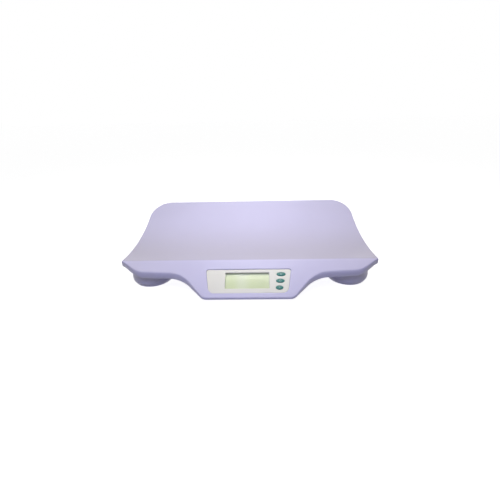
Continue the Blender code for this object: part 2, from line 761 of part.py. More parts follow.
def make_foot(name, x, run):
    y = CREST_Y + run
    make_load_cell(f"load_cell_{name}", x, y)
    lip_inner = CAP_RADIUS + RING_SLIP
    ring = [
        (RING_OUTER, BOSS_TOP),
        (RING_OUTER, RING_BOTTOM),
        (lip_inner, RING_BOTTOM),
        (lip_inner, RING_BOTTOM + RING_LIP),
        (RING_INNER, RING_BOTTOM + RING_LIP),
        (RING_INNER, BOSS_TOP),
    ]
    cap = [
        (0, BOSS_TOP),
        (CAP_BOSS_RADIUS, BOSS_TOP),
        (CAP_BOSS_RADIUS, FLANGE_TOP),
        (CAP_RADIUS + CAP_FLANGE_REACH, FLANGE_TOP),
        (CAP_RADIUS + CAP_FLANGE_REACH, FLANGE_BOTTOM),
        (CAP_RADIUS, FLANGE_BOTTOM),
        (CAP_RADIUS, CAP_BOTTOM),
        (0, CAP_BOTTOM),
    ]
    pad = [
        (0, PAD_THICKNESS),
        (PAD_RADIUS, PAD_THICKNESS),
        (PAD_RADIUS, PAD_EASE),
        (PAD_RADIUS - PAD_EASE, 0),
        (0, 0),
    ]
    pieces = [
        turned(f"foot_ring_{name}", ring, GREY, closed=True),
        turned(f"foot_cap_{name}", cap, GREY),
        turned(f"foot_pad_{name}", pad, DARK),
    ]
    for piece in pieces:
        piece.location = (x, y, 0)


# Screws


def screw_profile(radius, length, head_radius, head):
    """A pan-head screw about +Z, its head's top at zero and its shank pointing up."""
    return [(0, length), (radius, length), (radius, head), (head_radius, head), (head_radius, 0), (0, 0)]


def make_base_screws():
    profile = screw_profile(SCREW_RADIUS, SCREW_LENGTH, SCREW_HEAD_RADIUS, SCREW_HEAD)
    for number, (x, y) in enumerate(base_screw_places(), 1):
        screw = turned(f"base_screw_{number}", profile, STEEL, steps=SMALL_ROUND_STEPS)
        screw.location = (x, y, WELL_TOP - BASE_WALL - GAP - SCREW_HEAD)


# Console


def new_console_frame():
    frame = bpy.data.objects.new("console_frame", None)
    frame.location = (0, CREST_Y, CREST_HEIGHT)
    frame.rotation_euler = (APRON_TILT, 0, 0)
    PARTS.objects.link(frame)
    bpy.context.view_layer.update()
    return frame


def console_point(x, drop, depth):
    """World place of a point in the apron's plane, a drop down the slope and a depth below its surface."""
    return CONSOLE.matrix_world @ Vector((x, -drop, -depth))


def panel_outline():
    return rounded(
        [
            (-PANEL_BOTTOM_HALF, -PANEL_BOTTOM, PANEL_CORNER_RADIUS),
            (PANEL_BOTTOM_HALF, -PANEL_BOTTOM, PANEL_CORNER_RADIUS),
            (PANEL_TOP_HALF, -PANEL_TOP, PANEL_CORNER_RADIUS),
            (-PANEL_TOP_HALF, -PANEL_TOP, PANEL_CORNER_RADIUS),
        ]
    )


def rectangle(width, height, radius):
    """A rounded rectangle about the display's centre."""
    left, right = LCD_X - width / 2, LCD_X + width / 2
    low, high = -LCD_MIDDLE - height / 2, -LCD_MIDDLE + height / 2
    return rounded([(left, low, radius), (right, low, radius), (right, high, radius), (left, high, radius)])


def key_outline(index, grow):
    width = KEY_WIDTHS[index] + 2 * grow
    return ellipse(KEY_XS[index], -KEY_DROPS[index], width, KEY_HEIGHT + 2 * grow)


def post_places():
    return [(x, -drop) for x in POST_XS for drop in POST_DROPS]


def make_bezel():
    holes = [key_outline(index, KEY_SLIP) for index in range(len(KEY_NAMES))]
    holes.append(rectangle(*LCD_VIEW, LCD_VIEW_RADIUS))
    bezel = plate("display_bezel", [panel_outline(), *holes], -PANEL_BACK, -PANEL_RECESS, WHITE, CONSOLE)
    flange = [moved_in(panel_outline(), -PANEL_FLANGE), moved_in(panel_outline(), EDGE_ROUND)]
    join(bezel, plate("bezel_flange", flange, -PANEL_BACK + GAP / 2, -SKIN_DEPTH - GAP, parent=CONSOLE))
    posts = bmesh.new()
    bores = bmesh.new()
    for x, y in post_places():
        add_post(posts, x, y, POST_RADIUS, -HOLDER_BACK, -PANEL_BACK + PANEL_THICKNESS / 2)
        add_post(bores, x, y, POST_BORE, -HOLDER_BACK - OVERRUN, -PANEL_BACK - GAP)
    join(bezel, from_bmesh("bezel_posts", posts, parent=CONSOLE))
    cut(bezel, from_bmesh("post_bores", bores, parent=CONSOLE))


def make_display():
    width, height = (side + 2 * LCD_BORDER for side in LCD_VIEW)
    glass = rectangle(width, height, LCD_VIEW_RADIUS)
    lens_back = LENS_FRONT + LENS_THICKNESS
    plate("display_window", [glass], -lens_back, -LENS_FRONT, CLEAR, CONSOLE)
    plate("lcd_panel", [glass], -LCD_BACK, -LCD_FRONT, LCD_GREEN, CONSOLE)
    frame = [moved_in(glass, -GAP - HOLDER_WALL), moved_in(glass, -GAP)]
    plate("lcd_holder", frame, -HOLDER_BACK, -LENS_FRONT, GREY, CONSOLE)


def make_key(index):
    """A rubber key: an oval cap through the bezel, and a flange behind it that keeps it in."""
    top = KEY_PROUD - PANEL_RECESS
    bm = plate_bmesh([key_outline(index, 0)], -PANEL_BACK - GAP * 2, top)
    bmesh.ops.bevel(bm, geom=rim_edges(bm, top), offset=KEY_EDGE, segments=2, profile=0.5, affect="EDGES")
    key = from_bmesh(KEY_NAMES[index], bm, TEAL, CONSOLE)
    flange = [key_outline(index, KEY_FLANGE)]
    join(key, plate(f"{KEY_NAMES[index]}_flange", flange, -KEY_BACK, -PANEL_BACK - GAP, parent=CONSOLE))


def make_mat():
    """The contact mat on the board, with a dome under each key."""
    reach = max(KEY_WIDTHS) / 2 + MAT_MARGIN
    left, right = min(KEY_XS) - reach, max(KEY_XS) + reach
    high = -POST_DROPS[0] - POST_RADIUS - GAP
    low = -POST_DROPS[1] + POST_RADIUS + GAP
    places = [(left, low), (right, low), (right, high), (left, high)]
    outline = rounded([(x, y, BOARD_CORNER_RADIUS) for x, y in places])
    mat = plate("keypad_mat", [outline], -BOARD_FRONT + GAP, -MAT_FRONT, WHITE, CONSOLE)
    domes = bmesh.new()
    for x, drop in zip(KEY_XS, KEY_DROPS):
        add_post(domes, x, -drop, DOME_RADIUS, -MAT_FRONT - MAT_THICKNESS / 2, -MAT_FRONT + DOME_HEIGHT)
    join(mat, from_bmesh("mat_domes", domes, parent=CONSOLE))


def make_board():
    outline = rounded(
        [
            (-BOARD_BOTTOM_HALF, -BOARD_BOTTOM, BOARD_CORNER_RADIUS),
            (BOARD_BOTTOM_HALF, -BOARD_BOTTOM, BOARD_CORNER_RADIUS),
            (BOARD_TOP_HALF, -BOARD_TOP, BOARD_CORNER_RADIUS),
            (-BOARD_TOP_HALF, -BOARD_TOP, BOARD_CORNER_RADIUS),
        ]
    )
    hole_size = 2 * (BOARD_SCREW_RADIUS + GAP)
    holes = [ellipse(x, y, hole_size, hole_size) for x, y in post_places()]
    plate("main_board", [outline, *holes], -BOARD_BACK, -BOARD_FRONT, BOARD, CONSOLE)

    back = -BOARD_BACK - GAP
    chip = bmesh.new()
    low = (CHIP_X - CHIP_SIDE / 2, -CHIP_DROP - CHIP_SIDE / 2, back - CHIP_THICKNESS)
    add_box(chip, low, (CHIP_X + CHIP_SIDE / 2, -CHIP_DROP + CHIP_SIDE / 2, back))
    from_bmesh("main_chip", chip, DARK, CONSOLE)
    buzzer = bmesh.new()
    add_post(buzzer, BUZZER_X, -BUZZER_DROP, BUZZER_RADIUS, back - BUZZER_THICKNESS, back, ROUND_STEPS)
    from_bmesh("buzzer", buzzer, DARK, CONSOLE)

    profile = screw_profile(
        BOARD_SCREW_RADIUS, BOARD_SCREW_LENGTH + BOARD_SCREW_HEAD, BOARD_SCREW_HEAD_RADIUS, BOARD_SCREW_HEAD
    )
    for number, (x, y) in enumerate(post_places(), 1):
        screw = turned(f"board_screw_{number}", profile, STEEL, steps=SMALL_ROUND_STEPS, parent=CONSOLE)
        screw.location = (x, y, back - BOARD_SCREW_HEAD)


# Batteries


def battery_x(index):
    return (index - (CELL_COUNT - 1) / 2) * BATTERY_PITCH


def make_batteries():
    """Cells that lie side by side and head to tail; each flat end stands off by a leaf spring's reach."""
    _, front, _, _ = bay_limits()
    start = front + CONTACT_THICKNESS + 2 * GAP
    height = BASE_BOTTOM + DOOR_THICKNESS + GAP + BATTERY_RADIUS
    body = BATTERY_LENGTH - BATTERY_NUB
    profile = [
        (0, BATTERY_LENGTH),
        (BATTERY_NUB_RADIUS, BATTERY_LENGTH),
        (BATTERY_NUB_RADIUS, body),
        (BATTERY_RADIUS - BATTERY_EDGE, body),
        (BATTERY_RADIUS, body - BATTERY_EDGE),
        (BATTERY_RADIUS, BATTERY_EDGE),
        (BATTERY_RADIUS - BATTERY_EDGE, 0),
        (0, 0),
    ]
    for index in range(CELL_COUNT):
        battery = turned(f"battery_{index + 1}", profile, GREY, steps=SMALL_ROUND_STEPS)
        faces_back = index % 2 == 0
        battery.rotation_euler = (math.radians(-90 if faces_back else 90), 0, 0)
        y = start + LEAF_REACH if faces_back else start + BATTERY_LENGTH
        battery.location = (battery_x(index), y, height)


def leaf_outline():
    """A bowed leaf on a strip, as (height, distance from the strip's back): an arc with a wall."""
    rise = CONTACT_THICKNESS / 2 + LEAF_REACH
    radius = (LEAF_HALF**2 + rise**2) / (2 * rise)
    centre = CONTACT_THICKNESS + LEAF_REACH - radius
    sweep = math.acos((radius - rise) / radius)
    turns = [sweep * (1 - 2 * step / LEAF_STEPS) for step in range(LEAF_STEPS + 1)]
    outer = [(radius * math.sin(turn), centre + radius * math.cos(turn)) for turn in turns]
    hollow = radius - CONTACT_THICKNESS
    inner = [(hollow * math.sin(turn), centre + hollow * math.cos(turn)) for turn in reversed(turns)]
    return outer + inner


def make_contacts():
    """Two stamped strips, each with a bowed leaf in front of every flat battery end that it meets."""
    half, front, back, _ = bay_limits()
    middle_z = BASE_BOTTOM + DOOR_THICKNESS + GAP + BATTERY_RADIUS
    reach = half - GAP
    for name, y, turn in (("front_contact", front + GAP, 0), ("rear_contact", back - GAP, math.pi)):
        frame = bpy.data.objects.new(f"{name}_frame", None)
        frame.location = (0, y, middle_z)
        frame.rotation_euler = (0, math.radians(-90), turn)
        PARTS.objects.link(frame)
        bm = bmesh.new()
        add_box(bm, (-CONTACT_HEIGHT / 2, 0, -reach), (CONTACT_HEIGHT / 2, CONTACT_THICKNESS, reach))
        strip = from_bmesh(name, bm, STEEL, frame)
        for index in range(0, CELL_COUNT, 2):
            low = -battery_x(index) - LEAF_WIDTH / 2
            leaf = plate(f"{name}_leaf", [leaf_outline()], low, low + LEAF_WIDTH, parent=frame)
            join(strip, leaf)


def make_door():
    """The battery door: a plate with two hinge tabs at its front and a springy latch finger at its back."""
    half, front, back = door_limits()
    hinge_y = front + DOOR_HINGE_INSET
    hinge = bpy.data.objects.new("door_hinge", None)
    hinge.location = (0, hinge_y, BASE_BOTTOM)
    PARTS.objects.link(hinge)
    bpy.context.view_layer.update()
    bm = bmesh.new()
    low = (-half, front - hinge_y, 0)
    add_box(bm, low, (half, back - hinge_y, DOOR_THICKNESS))
    door = from_bmesh("battery_door", bm, LILAC, hinge)
    start = front - hinge_y
    tab_low = BASE_WALL + GAP
    riser_front = start + GAP
    limits = {
        "tab_risers": (riser_front, riser_front + TAB_THICKNESS, DOOR_THICKNESS / 2, tab_low + GAP),
        "tab_tongues": (start - TAB_REACH, start + 2 * TAB_THICKNESS, tab_low, tab_low + TAB_THICKNESS),
    }
    for name, (y_low, y_high, z_low, z_high) in limits.items():
        tabs = bmesh.new()
        for x in (-TAB_OFFSET, TAB_OFFSET):
            add_box(tabs, (x - TAB_HALF, y_low, z_low), (x + TAB_HALF, y_high, z_high))
        join(door, from_bmesh(name, tabs, parent=hinge))
    slots = bmesh.new()
    end = back - hinge_y
    for side in (-1, 1):
        middle = side * LATCH_WIDTH / 2
        add_box(
            slots,
            (middle - LATCH_SLOT / 2, end - LATCH_DEPTH, -OVERRUN),
            (middle + LATCH_SLOT / 2, end + OVERRUN, OVERRUN),
        )
    cut(door, from_bmesh("latch_slots", slots, parent=hinge))


# Leads


def smooth_route(points):
    """Points on a Catmull-Rom curve through the route's own points."""
    ends = [points[0] * 2 - points[1], *points, points[-1] * 2 - points[-2]]
    smooth = [points[0]]
    for before, start, end, after in zip(ends, ends[1:], ends[2:], ends[3:]):
        reach_share = 1 / 6
        handles = [start + (end - before) * reach_share, end - (after - start) * reach_share]
        smooth += interpolate_bezier(start, *handles, end, LEAD_STEPS + 1)[1:]
    return smooth


def make_lead(name, points):
    """A lead through smooth points, as a mesh tube with its caps welded on."""
    curve = bpy.data.curves.new(name, "CURVE")
    curve.dimensions = "3D"
    curve.bevel_depth = LEAD_RADIUS
    curve.bevel_resolution = 1
    curve.use_fill_caps = True
    route = smooth_route(points)
    spline = curve.splines.new("POLY")
    spline.points.add(len(route) - 1)
    for point, place in zip(spline.points, route):
        point.co = (*place, 1)
    return add_object(name, curve, WIRE)


def lead_tail(x):
    """The last two points of a lead: square to the back of the board, ending a gap behind it."""
    return [
        console_point(x, LEAD_DROP, BOARD_BACK + GAP + LEAD_TAIL),
        console_point(x, LEAD_DROP, BOARD_BACK + GAP),
    ]


def make_leads():
    for name, (x, y) in lead_hole_places().items():
        side = math.copysign(1, x)
        front = name.startswith("front")
        route = FRONT_LEAD_ROUTE if front else REAR_LEAD_ROUTE
        start = [Vector((x, y, WEB_BOTTOM + rise)) for rise in (0, LEAD_RISE / 2, LEAD_RISE)]
        middle = [Vector((side * half, CREST_Y + run, height)) for half, run, height in route]
        end = lead_tail(side * (FRONT_LEAD_END if front else REAR_LEAD_END))
        make_lead(f"load_cell_lead_{name}", start + middle + end)
    _, front, _, _ = bay_limits()
    start = Vector((0, front - BAY_WALL - GAP, BATTERY_LEAD_Z))
    middle = [Vector((x, CREST_Y + run, height)) for x, run, height in BATTERY_LEAD_ROUTE]
    make_lead("battery_lead", [start, *middle, *lead_tail(0)])


CONSOLE = new_console_frame()
make_tray()
make_base()
for foot, place in FEET.items():
    make_foot(foot, *place)
make_base_screws()
make_bezel()
make_display()
for key in range(len(KEY_NAMES)):
    make_key(key)
make_mat()
make_board()
make_batteries()
make_contacts()
make_door()
make_leads()
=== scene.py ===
"""Looks of a digital baby weighing scale: a lilac dished tray with a display console, on four load-cell feet.

Metres, +Z up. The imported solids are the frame, and each new surface lies where its solid is.
A run is a distance in plan from the crest line, the ridge between the bed and the sloping apron.
A console place is (across, drop down the apron, depth below its surface).
"""

import json
import math

import bmesh
import bpy
import numpy as np
from mathutils import Matrix, Vector


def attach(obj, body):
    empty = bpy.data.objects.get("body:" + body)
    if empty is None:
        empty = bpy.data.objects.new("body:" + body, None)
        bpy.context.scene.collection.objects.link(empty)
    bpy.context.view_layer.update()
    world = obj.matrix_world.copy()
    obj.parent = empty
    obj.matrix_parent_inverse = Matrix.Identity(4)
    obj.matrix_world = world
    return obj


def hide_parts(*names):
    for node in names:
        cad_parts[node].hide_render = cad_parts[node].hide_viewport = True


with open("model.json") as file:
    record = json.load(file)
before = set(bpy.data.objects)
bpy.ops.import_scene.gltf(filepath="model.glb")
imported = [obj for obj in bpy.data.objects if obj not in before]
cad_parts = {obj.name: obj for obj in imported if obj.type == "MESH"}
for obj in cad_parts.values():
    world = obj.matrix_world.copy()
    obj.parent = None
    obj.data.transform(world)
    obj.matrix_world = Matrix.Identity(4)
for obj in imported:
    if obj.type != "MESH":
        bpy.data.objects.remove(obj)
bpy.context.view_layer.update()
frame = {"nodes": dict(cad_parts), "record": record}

MM = 0.001

# Tray in plan
HALF_LENGTH = 275.5 * MM
BED_RUN = 263.5 * MM
APRON_RUN = 77 * MM
CREST_Y = (APRON_RUN - BED_RUN) / 2
BACK_CORNER = 50 * MM
TONGUE_HALF = 91 * MM
TONGUE_CORNER = 18.5 * MM
FLANK_TOP = (119 * MM, -50 * MM)
FLANK_EASE = 23.5 * MM
LIP_INNER = (169 * MM, -28.7 * MM)
LIP_OUTER = (222 * MM, -26.5 * MM)
LIP_EASE = 12.5 * MM
HORN_EASE = 20.5 * MM
HORN_LEAD = 19.5 * MM
HORN_ANGLE = math.radians(26)

# Tray from the side
CREST_HEIGHT = 60 * MM
CREST_EASE = 5 * MM
DISH_RADIUS = 426 * MM
DISH_LOW_RUN = 57.5 * MM
APRON_TILT = math.radians(30)
SKIN = 3 * MM
SKIRT_WALL = 3 * MM
FOOT_EASE = 0.7 * MM
# The skirt, and the roll that leads into it: the tongue, the flank's top, the lip, its outer end, the tip and behind,
# and the back corner and edge
RIM_RUNS = (-APRON_RUN, -50 * MM, -28.7 * MM, -26.5 * MM, 0, 12 * MM, BED_RUN - BACK_CORNER, BED_RUN)
SKIRT_DEPTHS = (4.5 * MM, 9.8 * MM, *[12.3 * MM] * 6)
ROLL_WIDTHS = (1.6 * MM, 2.2 * MM, 3.6 * MM, 3.4 * MM, 1.5 * MM, 1.2 * MM, 1.2 * MM, 3.3 * MM)
ROLL_DROPS = (2 * MM, 4.5 * MM, 9 * MM, 8 * MM, 1.8 * MM, 1.2 * MM, 1.2 * MM, 3.3 * MM)
RIB_PAIRS = 4
RIB_PITCH = 52 * MM
# Half a rib's width at its foot and at its tip
RIB_HALVES = (1.15 * MM, 0.9 * MM)
RIB_DEPTH = 7 * MM
RIB_RUN = 222.8 * MM
RIB_ROUND = 0.5 * MM
RIB_NOSE = 0.3 * MM

# Console
PANEL_TOP = 24 * MM
PANEL_BOTTOM = 78 * MM
PANEL_TOP_HALF = 88.8 * MM
PANEL_BOTTOM_HALF = 80 * MM
PANEL_CORNERS = (13 * MM, 13 * MM, 4 * MM, 4 * MM)
CORNER_POINTS = 13
FINE_POINTS = 4000
PANEL_RECESS = 1.2 * MM
PANEL_BACK = 4.4 * MM
PANEL_GAP = 0.3 * MM
PANEL_EDGE = 0.5 * MM
POCKET_EDGE = 1.2 * MM
FLANGE_REACH = 2 * MM
FLANGE_INSET = 3 * MM
FLANGE_FRONT = 2.9 * MM
FLANGE_BACK = 4.25 * MM
FLANGE_STEPS = 240
POST_RADIUS = 2.4 * MM
POST_BORE = 1.2 * MM
POST_BACK = 8.5 * MM
LCD_X = -2.5 * MM
LCD_DROP = 49.5 * MM
LCD_VIEW = (91 * MM, 36.5 * MM)
LCD_CORNER = 1.5 * MM
LCD_EDGE = 0.8 * MM
# The panel's middle is parted in four cells: one round the display and one round each key
CELL_XS = (-60 * MM, 51 * MM, 78.3 * MM)
CELL_DROPS = (27.2 * MM, 43.3 * MM, 58.7 * MM, 72 * MM)
# Keys: across, drop, width
KEYS = {
    "top": (67.9 * MM, 35.7 * MM, 18.5 * MM),
    "middle": (65.5 * MM, 51 * MM, 17.4 * MM),
    "bottom": (63.1 * MM, 66.3 * MM, 15.2 * MM),
}
KEY_HEIGHT = 8.9 * MM
KEY_STEPS = 72
KEY_SLIP = 0.35 * MM
KEY_TOP = 0.1 * MM
KEY_NECK_DEPTH = 4.7 * MM
KEY_BACK_DEPTH = 5.7 * MM
KEY_FLANGE = 1.1 * MM
KEY_SAG = 0.9 * MM
KEY_LAND = 0.3 * MM

# Feet: across and run of their middles
FOOT_HALF = 219.5 * MM
FEET = {
    f"{end}_{side}": (sign * FOOT_HALF, run)
    for end, run in (("front", 27.5 * MM), ("rear", 176 * MM))
    for side, sign in (("left", -1), ("right", 1))
}
FOOT_ROUND = 0.4 * MM
PAD_RADIUS = 21.2 * MM
PAD_THICKNESS = 2.6 * MM
PAD_ROUND = 0.6 * MM
PAD_DIMPLE = (4 * MM, 0.5 * MM)
GROOVE_RADII = (17 * MM, 12.5 * MM, 8 * MM)
GROOVE_HALVES = (1 * MM, 0.6 * MM)
GROOVE_DEPTH = 0.7 * MM
CAP_RADIUS = 21.6 * MM
CAP_FLANGE_RADIUS = 24.6 * MM
CAP_BOSS_RADIUS = 4 * MM
CAP_BOTTOM = 2.9 * MM
FLANGE_BOTTOM = 6.3 * MM
FLANGE_TOP = 8 * MM
BOSS_TOP = 12 * MM
RING_BOTTOM = 4 * MM
RING_LIP = 2 * MM
RING_LIP_RADIUS = 22 * MM
RING_INNER_RADIUS = 25 * MM
RING_OUTER_RADIUS = 27.5 * MM
CELL_TOP = 14.8 * MM
# The sealant on a load cell: half sizes, height, and how far behind the foot's middle
PATCH_HALVES = (5 * MM, 3.2 * MM)
PATCH_HEIGHT = 0.28 * MM
PATCH_RUN = 8 * MM

# Screws: shank radius, length, head radius, head height, thread pitch
BASE_SCREW = (1.4 * MM, 12 * MM, 3.2 * MM, 2.2 * MM, 1 * MM)
BOARD_SCREW = (0.9 * MM, 6 * MM, 1.9 * MM, 1.4 * MM, 0.6 * MM)
BASE_SCREW_BOTTOM = 27.5 * MM
BASE_SCREW_HALVES = (120 * MM, 175 * MM, 120 * MM)
BASE_SCREW_RUNS = (30 * MM, 110 * MM, 195 * MM)
BASE_SCREW_PLACES = [(side * half, run) for half, run in zip(BASE_SCREW_HALVES, BASE_SCREW_RUNS) for side in (-1, 1)]
BOSS_RADIUS = 4.5 * MM
BOSS_BOTTOM = 32.8 * MM
BORE_RADIUS = 1.7 * MM
BORE_TOP = 44.5 * MM
BOARD_SCREW_XS = (-64 * MM, 55 * MM)
BOARD_SCREW_DROPS = (27.5 * MM, 74.6 * MM)
BOARD_SCREW_PLACES = [(across, drop) for across in BOARD_SCREW_XS for drop in BOARD_SCREW_DROPS]
BOARD_SCREW_DEPTH = 12.3 * MM
SCREW_STEPS = 48

# Batteries
BATTERY_RADIUS = 7.1 * MM
BATTERY_LENGTH = 50.5 * MM
BATTERY_PITCH = 14.8 * MM
BATTERY_NUB = 1 * MM
BATTERY_NUB_RADIUS = 2.75 * MM
BATTERY_START = (-17.05 * MM, -20.05 * MM)
BATTERY_HEIGHT = 17.4 * MM
SHOULDER = 0.4 * MM
SLEEVE_LIP = 1.6 * MM
SLEEVE_FOLD = 0.12 * MM
SLEEVE_BAND = 15 * MM
# The battery door, and the ridges on its latch
DOOR_BACK = 34.35 * MM
DOOR_FACE = 8 * MM
RIDGES = 5
RIDGE_PITCH = 1.6 * MM
RIDGE_HALF = 6 * MM
RIDGE_RADIUS = 0.5 * MM
RIDGE_LIFT = 0.02 * MM


# Materials


class Value:
    """A shader socket that can stand in a sum; each sum adds its Math node."""

    def __init__(self, finish, socket):
        self.finish = finish
        self.socket = socket

    def math(self, operation, *values, clamp=False):
        return self.finish.add("ShaderNodeMath", {"operation": operation, "use_clamp": clamp}, values)

    def __add__(self, other):
        return self.math("ADD", self, other)

    def __sub__(self, other):
        return self.math("SUBTRACT", self, other)

    def __rsub__(self, other):
        return self.math("SUBTRACT", other, self)

    def __mul__(self, other):
        return self.math("MULTIPLY", self, other)

    def __truediv__(self, other):
        return self.math("DIVIDE", self, other)

    def __pow__(self, other):
        return self.math("POWER", self, other)

    def __abs__(self):
        return self.math("ABSOLUTE", self)

    __radd__ = __add__
    __rmul__ = __mul__

    def clamped(self):
        return self.math("ADD", self, 0.0, clamp=True)

    def step(self, low, high):
        """A smooth step from 0 at low to 1 at high."""
        settings = {"interpolation_type": "SMOOTHSTEP"}
        sockets = {"Value": self, "From Min": low, "From Max": high}
        return self.finish.add("ShaderNodeMapRange", settings, sockets)


class Finish:
    """A material on a Principled shader, or the world on its Background, built node by node."""

    def __init__(self, name, world=None, **sockets):
        self.material = world or bpy.data.materials.new(name)
        self.material.use_nodes = True
        self.tree = self.material.node_tree
        self.shader = self.tree.nodes["Background" if world else "Principled BSDF"]
        for key, value in sockets.items():
            self.set(key.replace("_", " ").title().replace("Ior", "IOR"), value)
        self.place = self.add("ShaderNodeTexCoord", output="Object")

    def set(self, socket, value):
        self.feed(self.shader.inputs[socket], value)

    def feed(self, socket, value):
        if isinstance(value, Value):
            self.tree.links.new(value.socket, socket)
        elif socket.type == "RGBA" and len(value) == 3:
            socket.default_value = (*value, 1.0)
        else:
            socket.default_value = value

    def add(self, kind, settings=None, sockets=(), output=0):
        """Any node: its settings first, then its sockets' values or links; returns one output."""
        node = self.tree.nodes.new(kind)
        for key, value in (settings or {}).items():
            setattr(node, key, value)
        for key, value in sockets.items() if isinstance(sockets, dict) else enumerate(sockets):
            self.feed(node.inputs[key], value)
        return Value(self, node.outputs[output])

    def moved(self, scale, rotation=(0, 0, 0)):
        """Object coordinates stretched and turned."""
        return self.add("ShaderNodeMapping", None, {"Vector": self.place, "Scale": scale, "Rotation": rotation})

    def noise(self, scale, detail=2.0, roughness=0.5, place=None):
        """Clouds of a scale per metre, on object coordinates unless another place is given."""
        sockets = {"Vector": place or self.place, "Scale": scale, "Detail": detail, "Roughness": roughness}
        return self.add("ShaderNodeTexNoise", None, sockets)

    def blend(self, factor, first, second):
        """Two colours mixed by a factor; a Mix node's colours are its inputs 6 and 7 and its output 2."""
        return self.add("ShaderNodeMix", {"data_type": "RGBA"}, {"Factor": factor, 6: first, 7: second}, output=2)

    def parts(self, place=None):
        """The x, y and z of a place."""
        sockets = (place or self.place,)
        return [self.add("ShaderNodeSeparateXYZ", None, sockets, output=axis) for axis in "XYZ"]

    def made(self, colour, roughness, height, distance):
        """The finished material, its normal tilted by a height that spans a distance in metres."""
        self.set("Base Color", colour)
        self.set("Roughness", roughness)
        self.set("Normal", self.add("ShaderNodeBump", None, {"Height": height, "Distance": distance}))
        return self.material


def moulded(name, colour, roughness, grain=0.01 * MM, scuff=0.5, wear=None, haze_and_painted_shade=None):
    """Moulded plastic: faint uneven colour, a fine spark-eroded grain, soft flow and rubbed streaks.

    Worn edges follow a mesh mark; a painted shade greys the trough behind the crest, where the bed tilts away from the
    light.
    """
    finish = Finish(name, specular_ior_level=0.4)
    cloud = finish.noise(9.0, 3.0)
    fine = finish.noise(1500.0, 1.0)
    streak = finish.noise(1.0, 4.0, 0.6, finish.moved((18, 210, 60), (0, 0, 0.4)))
    rubbed = streak.step(0.58, 0.8) * finish.noise(14.0, 2.0).step(0.45, 0.7) * scuff
    pale = tuple(min(1.0, part * 1.012) for part in colour)
    deep = tuple(part * 0.985 for part in colour)
    tone = finish.blend(cloud.step(0.3, 0.7), deep, pale)
    lit = tuple(min(1.0, part * 1.06 + 0.01) for part in colour)
    tone = finish.blend(rubbed * 0.2, tone, lit)
    gloss = cloud * 0.06 + fine * 0.05 + rubbed * 0.12
    # Painted shade: the trough just behind the crest is blended towards a greyer colour, as if turned away from the
    # light
    if haze_and_painted_shade:
        run = finish.parts()[1] - CREST_Y
        trough = run.step(-1.5 * MM, 3.5 * MM) * (1 - run.step(25 * MM, 205 * MM))
        tone = finish.blend(trough * (cloud * 0.2 + 0.75), tone, haze_and_painted_shade)
    if wear:
        worn = finish.add("ShaderNodeAttribute", {"attribute_name": wear}, output="Fac")
        worn = worn * finish.noise(120.0, 3.0).step(0.42, 0.62)
        tone = finish.blend(worn * 0.3, tone, lit)
        gloss += worn * 0.08
    return finish.made(tone, gloss + (roughness - 0.055), fine + cloud * 3.0, grain)


def rubber(name, colour, roughness):
    """Moulded rubber: a dusty skin with a close matte grain."""
    finish = Finish(name, specular_ior_level=0.35)
    dust = finish.noise(60.0, 4.0, 0.65)
    fine = finish.noise(1800.0, 2.0)
    grey = tuple(part * 0.8 + 0.06 for part in colour)
    tone = finish.blend(dust.step(0.5, 0.75) * 0.5, colour, grey)
    return finish.made(tone, dust * 0.15 + fine * 0.08 + (roughness - 0.1), fine, 0.02 * MM)


def key_rubber():
    """Green silicone with a pale printed mark on each key: a broken ring with a bar, a ring, and two bars."""
    finish = Finish("key_rubber", specular_ior_level=0.45)
    sockets = {"Vector": finish.place, "Location": (0, CREST_Y, CREST_HEIGHT), "Rotation": (APRON_TILT, 0, 0)}
    place = finish.add("ShaderNodeMapping", {"vector_type": "TEXTURE"}, sockets)
    x, y = finish.parts(place)[:2]
    dust = finish.noise(90.0, 4.0, 0.65)
    fine = finish.noise(1500.0, 2.0)
    marks = 0
    for key, (across, drop, _) in KEYS.items():
        side, up = x - across, y + drop
        reach = (side * side + up * up) ** 0.5
        ring = 1 - abs(reach - 1.9 * MM).step(0.22 * MM, 0.34 * MM)
        wide = abs(side)
        if key == "top":
            gap = (1 - wide.step(0.7 * MM, 0.8 * MM)) * up.step(0, 0.2 * MM)
            bar = (1 - wide.step(0.2 * MM, 0.32 * MM)) * up.step(0, 0.1 * MM) * (1 - up.step(2.4 * MM, 2.5 * MM))
            mark = ring * (1 - gap) + bar
        elif key == "middle":
            mark = ring
        else:
            mark = (1 - abs(wide - 0.9 * MM).step(0.3 * MM, 0.42 * MM)) * (1 - abs(up).step(1.5 * MM, 1.6 * MM))
        marks = mark + marks
    print_wear = finish.noise(700.0, 2.0).step(0.25, 0.5) * 0.35 + 0.6
    tone = finish.blend(dust.step(0.45, 0.8) * 0.35, (0.030, 0.190, 0.165), (0.06, 0.23, 0.205))
    tone = finish.blend(marks.clamped() * print_wear, tone, (0.34, 0.50, 0.46))
    return finish.made(tone, dust * 0.12 + fine * 0.08 + 0.24, fine, 0.012 * MM)


def steel(name, colour, roughness):
    """Rolled or plated steel: fine drawn lines, a soft cloudy haze and a few dull spots."""
    finish = Finish(name, metallic=1.0)
    lines = finish.noise(1.0, 3.0, 0.6, finish.moved((40, 900, 900)))
    haze_and_painted_shade = finish.noise(45.0, 3.0)
    dull = tuple(part * 0.72 for part in colour)
    tone = finish.blend(haze_and_painted_shade.step(0.4, 0.8) * 0.6, colour, dull)
    return finish.made(tone, lines * 0.16 + haze_and_painted_shade * 0.14 + (roughness - 0.15), lines, 0.01 * MM)


